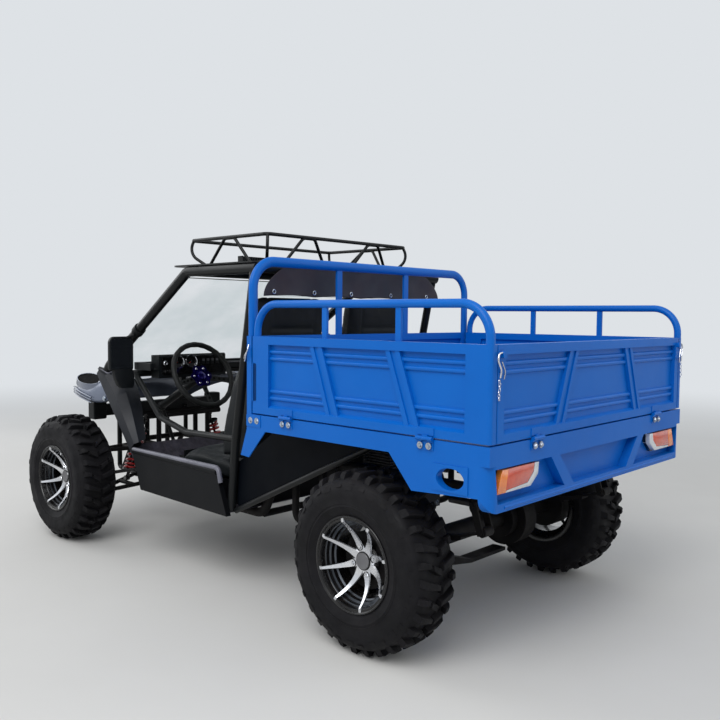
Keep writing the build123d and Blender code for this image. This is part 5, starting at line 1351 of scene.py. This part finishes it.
def engine_shape():
    """Crankcase with two covers, finned cylinder and head, exhaust with its silencer, intake and bolts."""
    def box(x0, x1, y, z, index=0):
        return block((ENGINE_X + x0, ENGINE_X + x1), y, z, index)

    def along(*points):
        return [(ENGINE_X + x, y, z) for x, y, z in points]

    cover = [(0, 0), (0.092, 0), (0.095, 0.006), (0.086, 0.022), (0.070, 0.030), (0, 0.032)]
    other = [(0, 0), (0.080, 0), (0.083, 0.010), (0.070, 0.060), (0.055, 0.074), (0, 0.076)]
    silencer = [(0, 0), (0.040, 0.0), (0.048, 0.008), (0.048, 0.15), (0.040, 0.158), (0, 0.158)]
    parts = [box(0.02, 0.300, (-0.200, 0.150), (0.312, 0.450)),
             lathe(cover, 40, facing((ENGINE_X + 0.150, 0.150, 0.395), (0, 1, 0))),
             lathe(other, 40, facing((ENGINE_X + 0.150, -0.200, 0.395), (0, -1, 0)))]
    for k in range(FIN_LEVELS):
        z = 0.456 + FIN_GAP * k
        grow = 0.0 if k % 2 else 0.004
        parts.append(box(0.080 - grow, 0.230 + grow, (-0.085 - grow, 0.075 + grow), (z, z + 0.0045)))
    parts += [box(0.095, 0.215, (-0.070, 0.060), (0.445, 0.600)),
              box(0.088, 0.222, (-0.076, 0.066), (0.594, 0.634)),
              pipe(along((0.09, -0.02, 0.56), (0.03, -0.03, 0.56), (0.02, -0.12, 0.50), (0.02, -0.25, 0.47)),
                   0.017, 0.04, index=1),
              lathe(silencer, 32, facing((ENGINE_X + 0.055, -0.236, 0.410), (1, 0, 0.1)), 1),
              pipe(along((0.22, 0.0, 0.57), (0.27, 0.02, 0.57), (0.285, 0.09, 0.55)), 0.022, 0.03, index=2),
              box(0.235, 0.325, (0.080, 0.186), (0.47, 0.62), 2)]
    for y in (-0.18, -0.06, 0.06, 0.13):
        parts += [bolt_head((ENGINE_X + 0.02, y, z), (-1, 0, 0), index=3) for z in (0.33, 0.435)]
    return merge(*parts)


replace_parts(piece("engine_unit", engine_shape(), "chassis", [CAST, STEEL, PLASTIC, ZINC], smooth=35,
                  bevel=0.002), "engine")


# Wire hook latches at the bed's corners

LINKS = 7
LINK_PITCH = 0.0085


def hook(place):
    """Bent wire latch with its spring clip, hanging on a small plate; local +Z points out of the panel."""
    wire = [(0.002, 0.030, 0.004), (0.005, 0.012, 0.012), (-0.004, -0.006, 0.014), (-0.009, -0.022, 0.011),
            (-0.018, -0.034, 0.008)]
    clip = [(-0.006, 0.004, 0.004), (-0.016, -0.010, 0.010), (-0.021, -0.024, 0.008)]
    parts = [round_plate(0.020, 0.034, 0.004, 0.0025), pipe(wire, 0.0024, 0.008, 8, 1),
             pipe(clip, 0.0020, 0.006, 8, 1)]
    return moved(merge(*parts), place)


def toggle(place):
    """Corner toggle: bracket, long bent wire loop and a short chain; local +Z points out of the tailgate."""
    wire = [(-0.004, 0.030, 0.008), (-0.030, 0.028, 0.009), (-0.036, 0.008, 0.010), (-0.020, -0.022, 0.012),
            (-0.024, -0.044, 0.010)]
    inner_wire = [(x + 0.020, y - 0.004, z) for x, y, z in wire[2:]]
    parts = [round_plate(0.030, 0.064, 0.006, 0.003),
             round_plate(0.018, 0.020, 0.004, 0.010, at(-0.002, 0.024, 0.003)),
             pipe(wire, 0.0030, 0.008, 10, 1), pipe(inner_wire, 0.0024, 0.008, 8, 1)]
    link = moved(torus(0.0052, 0.0013, 16, 6, index=1), Matrix.Diagonal((0.7, 1, 1, 1)))
    for k in range(LINKS):
        spot = at(-0.026 + 0.002 * sin(k), -0.054 - LINK_PITCH * k, 0.009)
        parts.append(moved(link, spot @ spun(90 * (k % 2), "Y")))
    return moved(merge(*parts), place)


for side, name in ((1, "left"), (-1, "right")):
    front = facing((REAR_X + 0.552, side * (BED_HALF + 0.0002), 1.018), (0, side, 0))
    piece("post_latch_" + name, hook(front), "chassis", [BLUE, CHROME], smooth=45)
left_toggle = toggle(facing((BED_REAR - 0.0002, 0.652, 1.028), (-1, 0, 0)))
piece("tailgate_toggles", pair(left_toggle), "tailgate_body", [BLUE, CHROME], smooth=45)


# Pedal pads and gear lever gaiter

PEDAL_X = REAR_X + 1.522
PEDAL_YS = (0.190, 0.330)
LEVER_X = REAR_X + 1.300
GAITER_SIDES = 28
# Height and radius of each fold
GAITER_RINGS = ((0.5203, 0.040), (0.526, 0.040), (0.530, 0.031), (0.536, 0.034), (0.541, 0.026),
                (0.548, 0.029), (0.554, 0.020), (0.562, 0.022), (0.570, 0.013), (0.585, 0.0095))

pads = []
for y in PEDAL_YS:
    pads.append(round_plate(0.062, 0.072, 0.008, 0.004, facing((PEDAL_X - 0.0402, y, 0.451), (-1, 0, 0))))
    pads += [block((PEDAL_X - 0.0468, PEDAL_X - 0.0440), (y - 0.024, y + 0.024), (low, low + 0.005))
             for low in [0.424 + 0.012 * k for k in range(5)]]
piece("pedal_pads", merge(*pads), "chassis", [PLASTIC], bevel=0.0006)
gaiter = [[(LEVER_X - (z - 0.515) * 0.207 + r * c, r * s, z) for c, s in turns(GAITER_SIDES)]
          for z, r in GAITER_RINGS]
piece("lever_gaiter", solid(gaiter), "chassis", [PLASTIC], smooth=70)


# Floor, lights and world

BACKDROP = (222, 226, 230)
SKY = (226, 230, 235)
SKY_STRENGTH = 0.62
FADE_FROM = 2.6
FADE_TO = 11.0
FLOOR_HALF = 30
# Name, place, aim, size and power
LAMPS = (
    ("key", (-2.4, 4.8, 5.6), (0, 0, 0.5), 5.0, 320),
    ("fill", (-5.0, -2.5, 3.2), (0, 0, 0.6), 4.5, 50),
    ("front", (5.0, 2.0, 3.4), (0, 0, 0.6), 4.5, 110),
)


def faded_floor():
    """Pale floor that turns into the backdrop's colour with distance, as the camera sees it."""
    mat = surface("floor_pale", (206, 205, 202), (212, 211, 208), rough=(0.8, 0.9), scale=0.7)
    tree = mat.node_tree
    position = add_node(tree, "NewGeometry").outputs["Position"]
    far = add_node(tree, "VectorMath", {0: position}, operation="LENGTH").outputs["Value"]
    fade = add_node(tree, "MapRange", {"From Min": FADE_FROM, "From Max": FADE_TO, "Value": far},
                    interpolation_type="SMOOTHSTEP").outputs["Result"]
    ray = add_node(tree, "LightPath").outputs
    seen = calculated(tree, "MAXIMUM", ray["Is Camera Ray"], ray["Is Transmission Ray"])
    share = calculated(tree, "MULTIPLY", fade, seen)
    glow = add_node(tree, "Emission", {"Color": srgb(*BACKDROP)}).outputs[0]
    pick = add_node(tree, "MixShader", {0: share, 1: tree.nodes["Principled BSDF"].outputs[0], 2: glow})
    tree.links.new(pick.outputs[0], tree.nodes["Material Output"].inputs["Surface"])
    return mat


def sky():
    """Pale sky that lights softly and shows the backdrop's colour."""
    world = bpy.data.worlds.new("sky")
    bpy.context.scene.world = world
    world.use_nodes = True
    tree = world.node_tree
    back = tree.nodes["Background"]
    back.inputs["Color"].default_value = srgb(*SKY)
    back.inputs["Strength"].default_value = SKY_STRENGTH
    seen = add_node(tree, "Background", {"Color": srgb(*BACKDROP), "Strength": 1.0}).outputs[0]
    ray = add_node(tree, "LightPath").outputs
    through = calculated(tree, "MAXIMUM", ray["Is Glossy Ray"], ray["Is Transmission Ray"])
    share = calculated(tree, "MAXIMUM", ray["Is Camera Ray"], through)
    pick = add_node(tree, "MixShader", {0: share, 1: back.outputs[0], 2: seen})
    tree.links.new(pick.outputs[0], tree.nodes["World Output"].inputs["Surface"])


def stage():
    """Pale floor, soft lamps and a pale sky."""
    corners = [(x * FLOOR_HALF, y * FLOOR_HALF, 0) for x, y in ((-1, -1), (1, -1), (1, 1), (-1, 1))]
    mesh = bpy.data.meshes.new("floor")
    mesh.from_pydata(corners, [], [(0, 1, 2, 3)])
    floor = shown("floor", mesh)
    floor.data.materials.append(faded_floor())
    for name, place, aim, size, power in LAMPS:
        data = bpy.data.lights.new(name, "AREA")
        data.size = size
        data.energy = power
        shown(name, data).matrix_world = facing(place, Vector(place) - Vector(aim))
    sky()
    bpy.context.scene.view_settings.view_transform = "Standard"


stage()
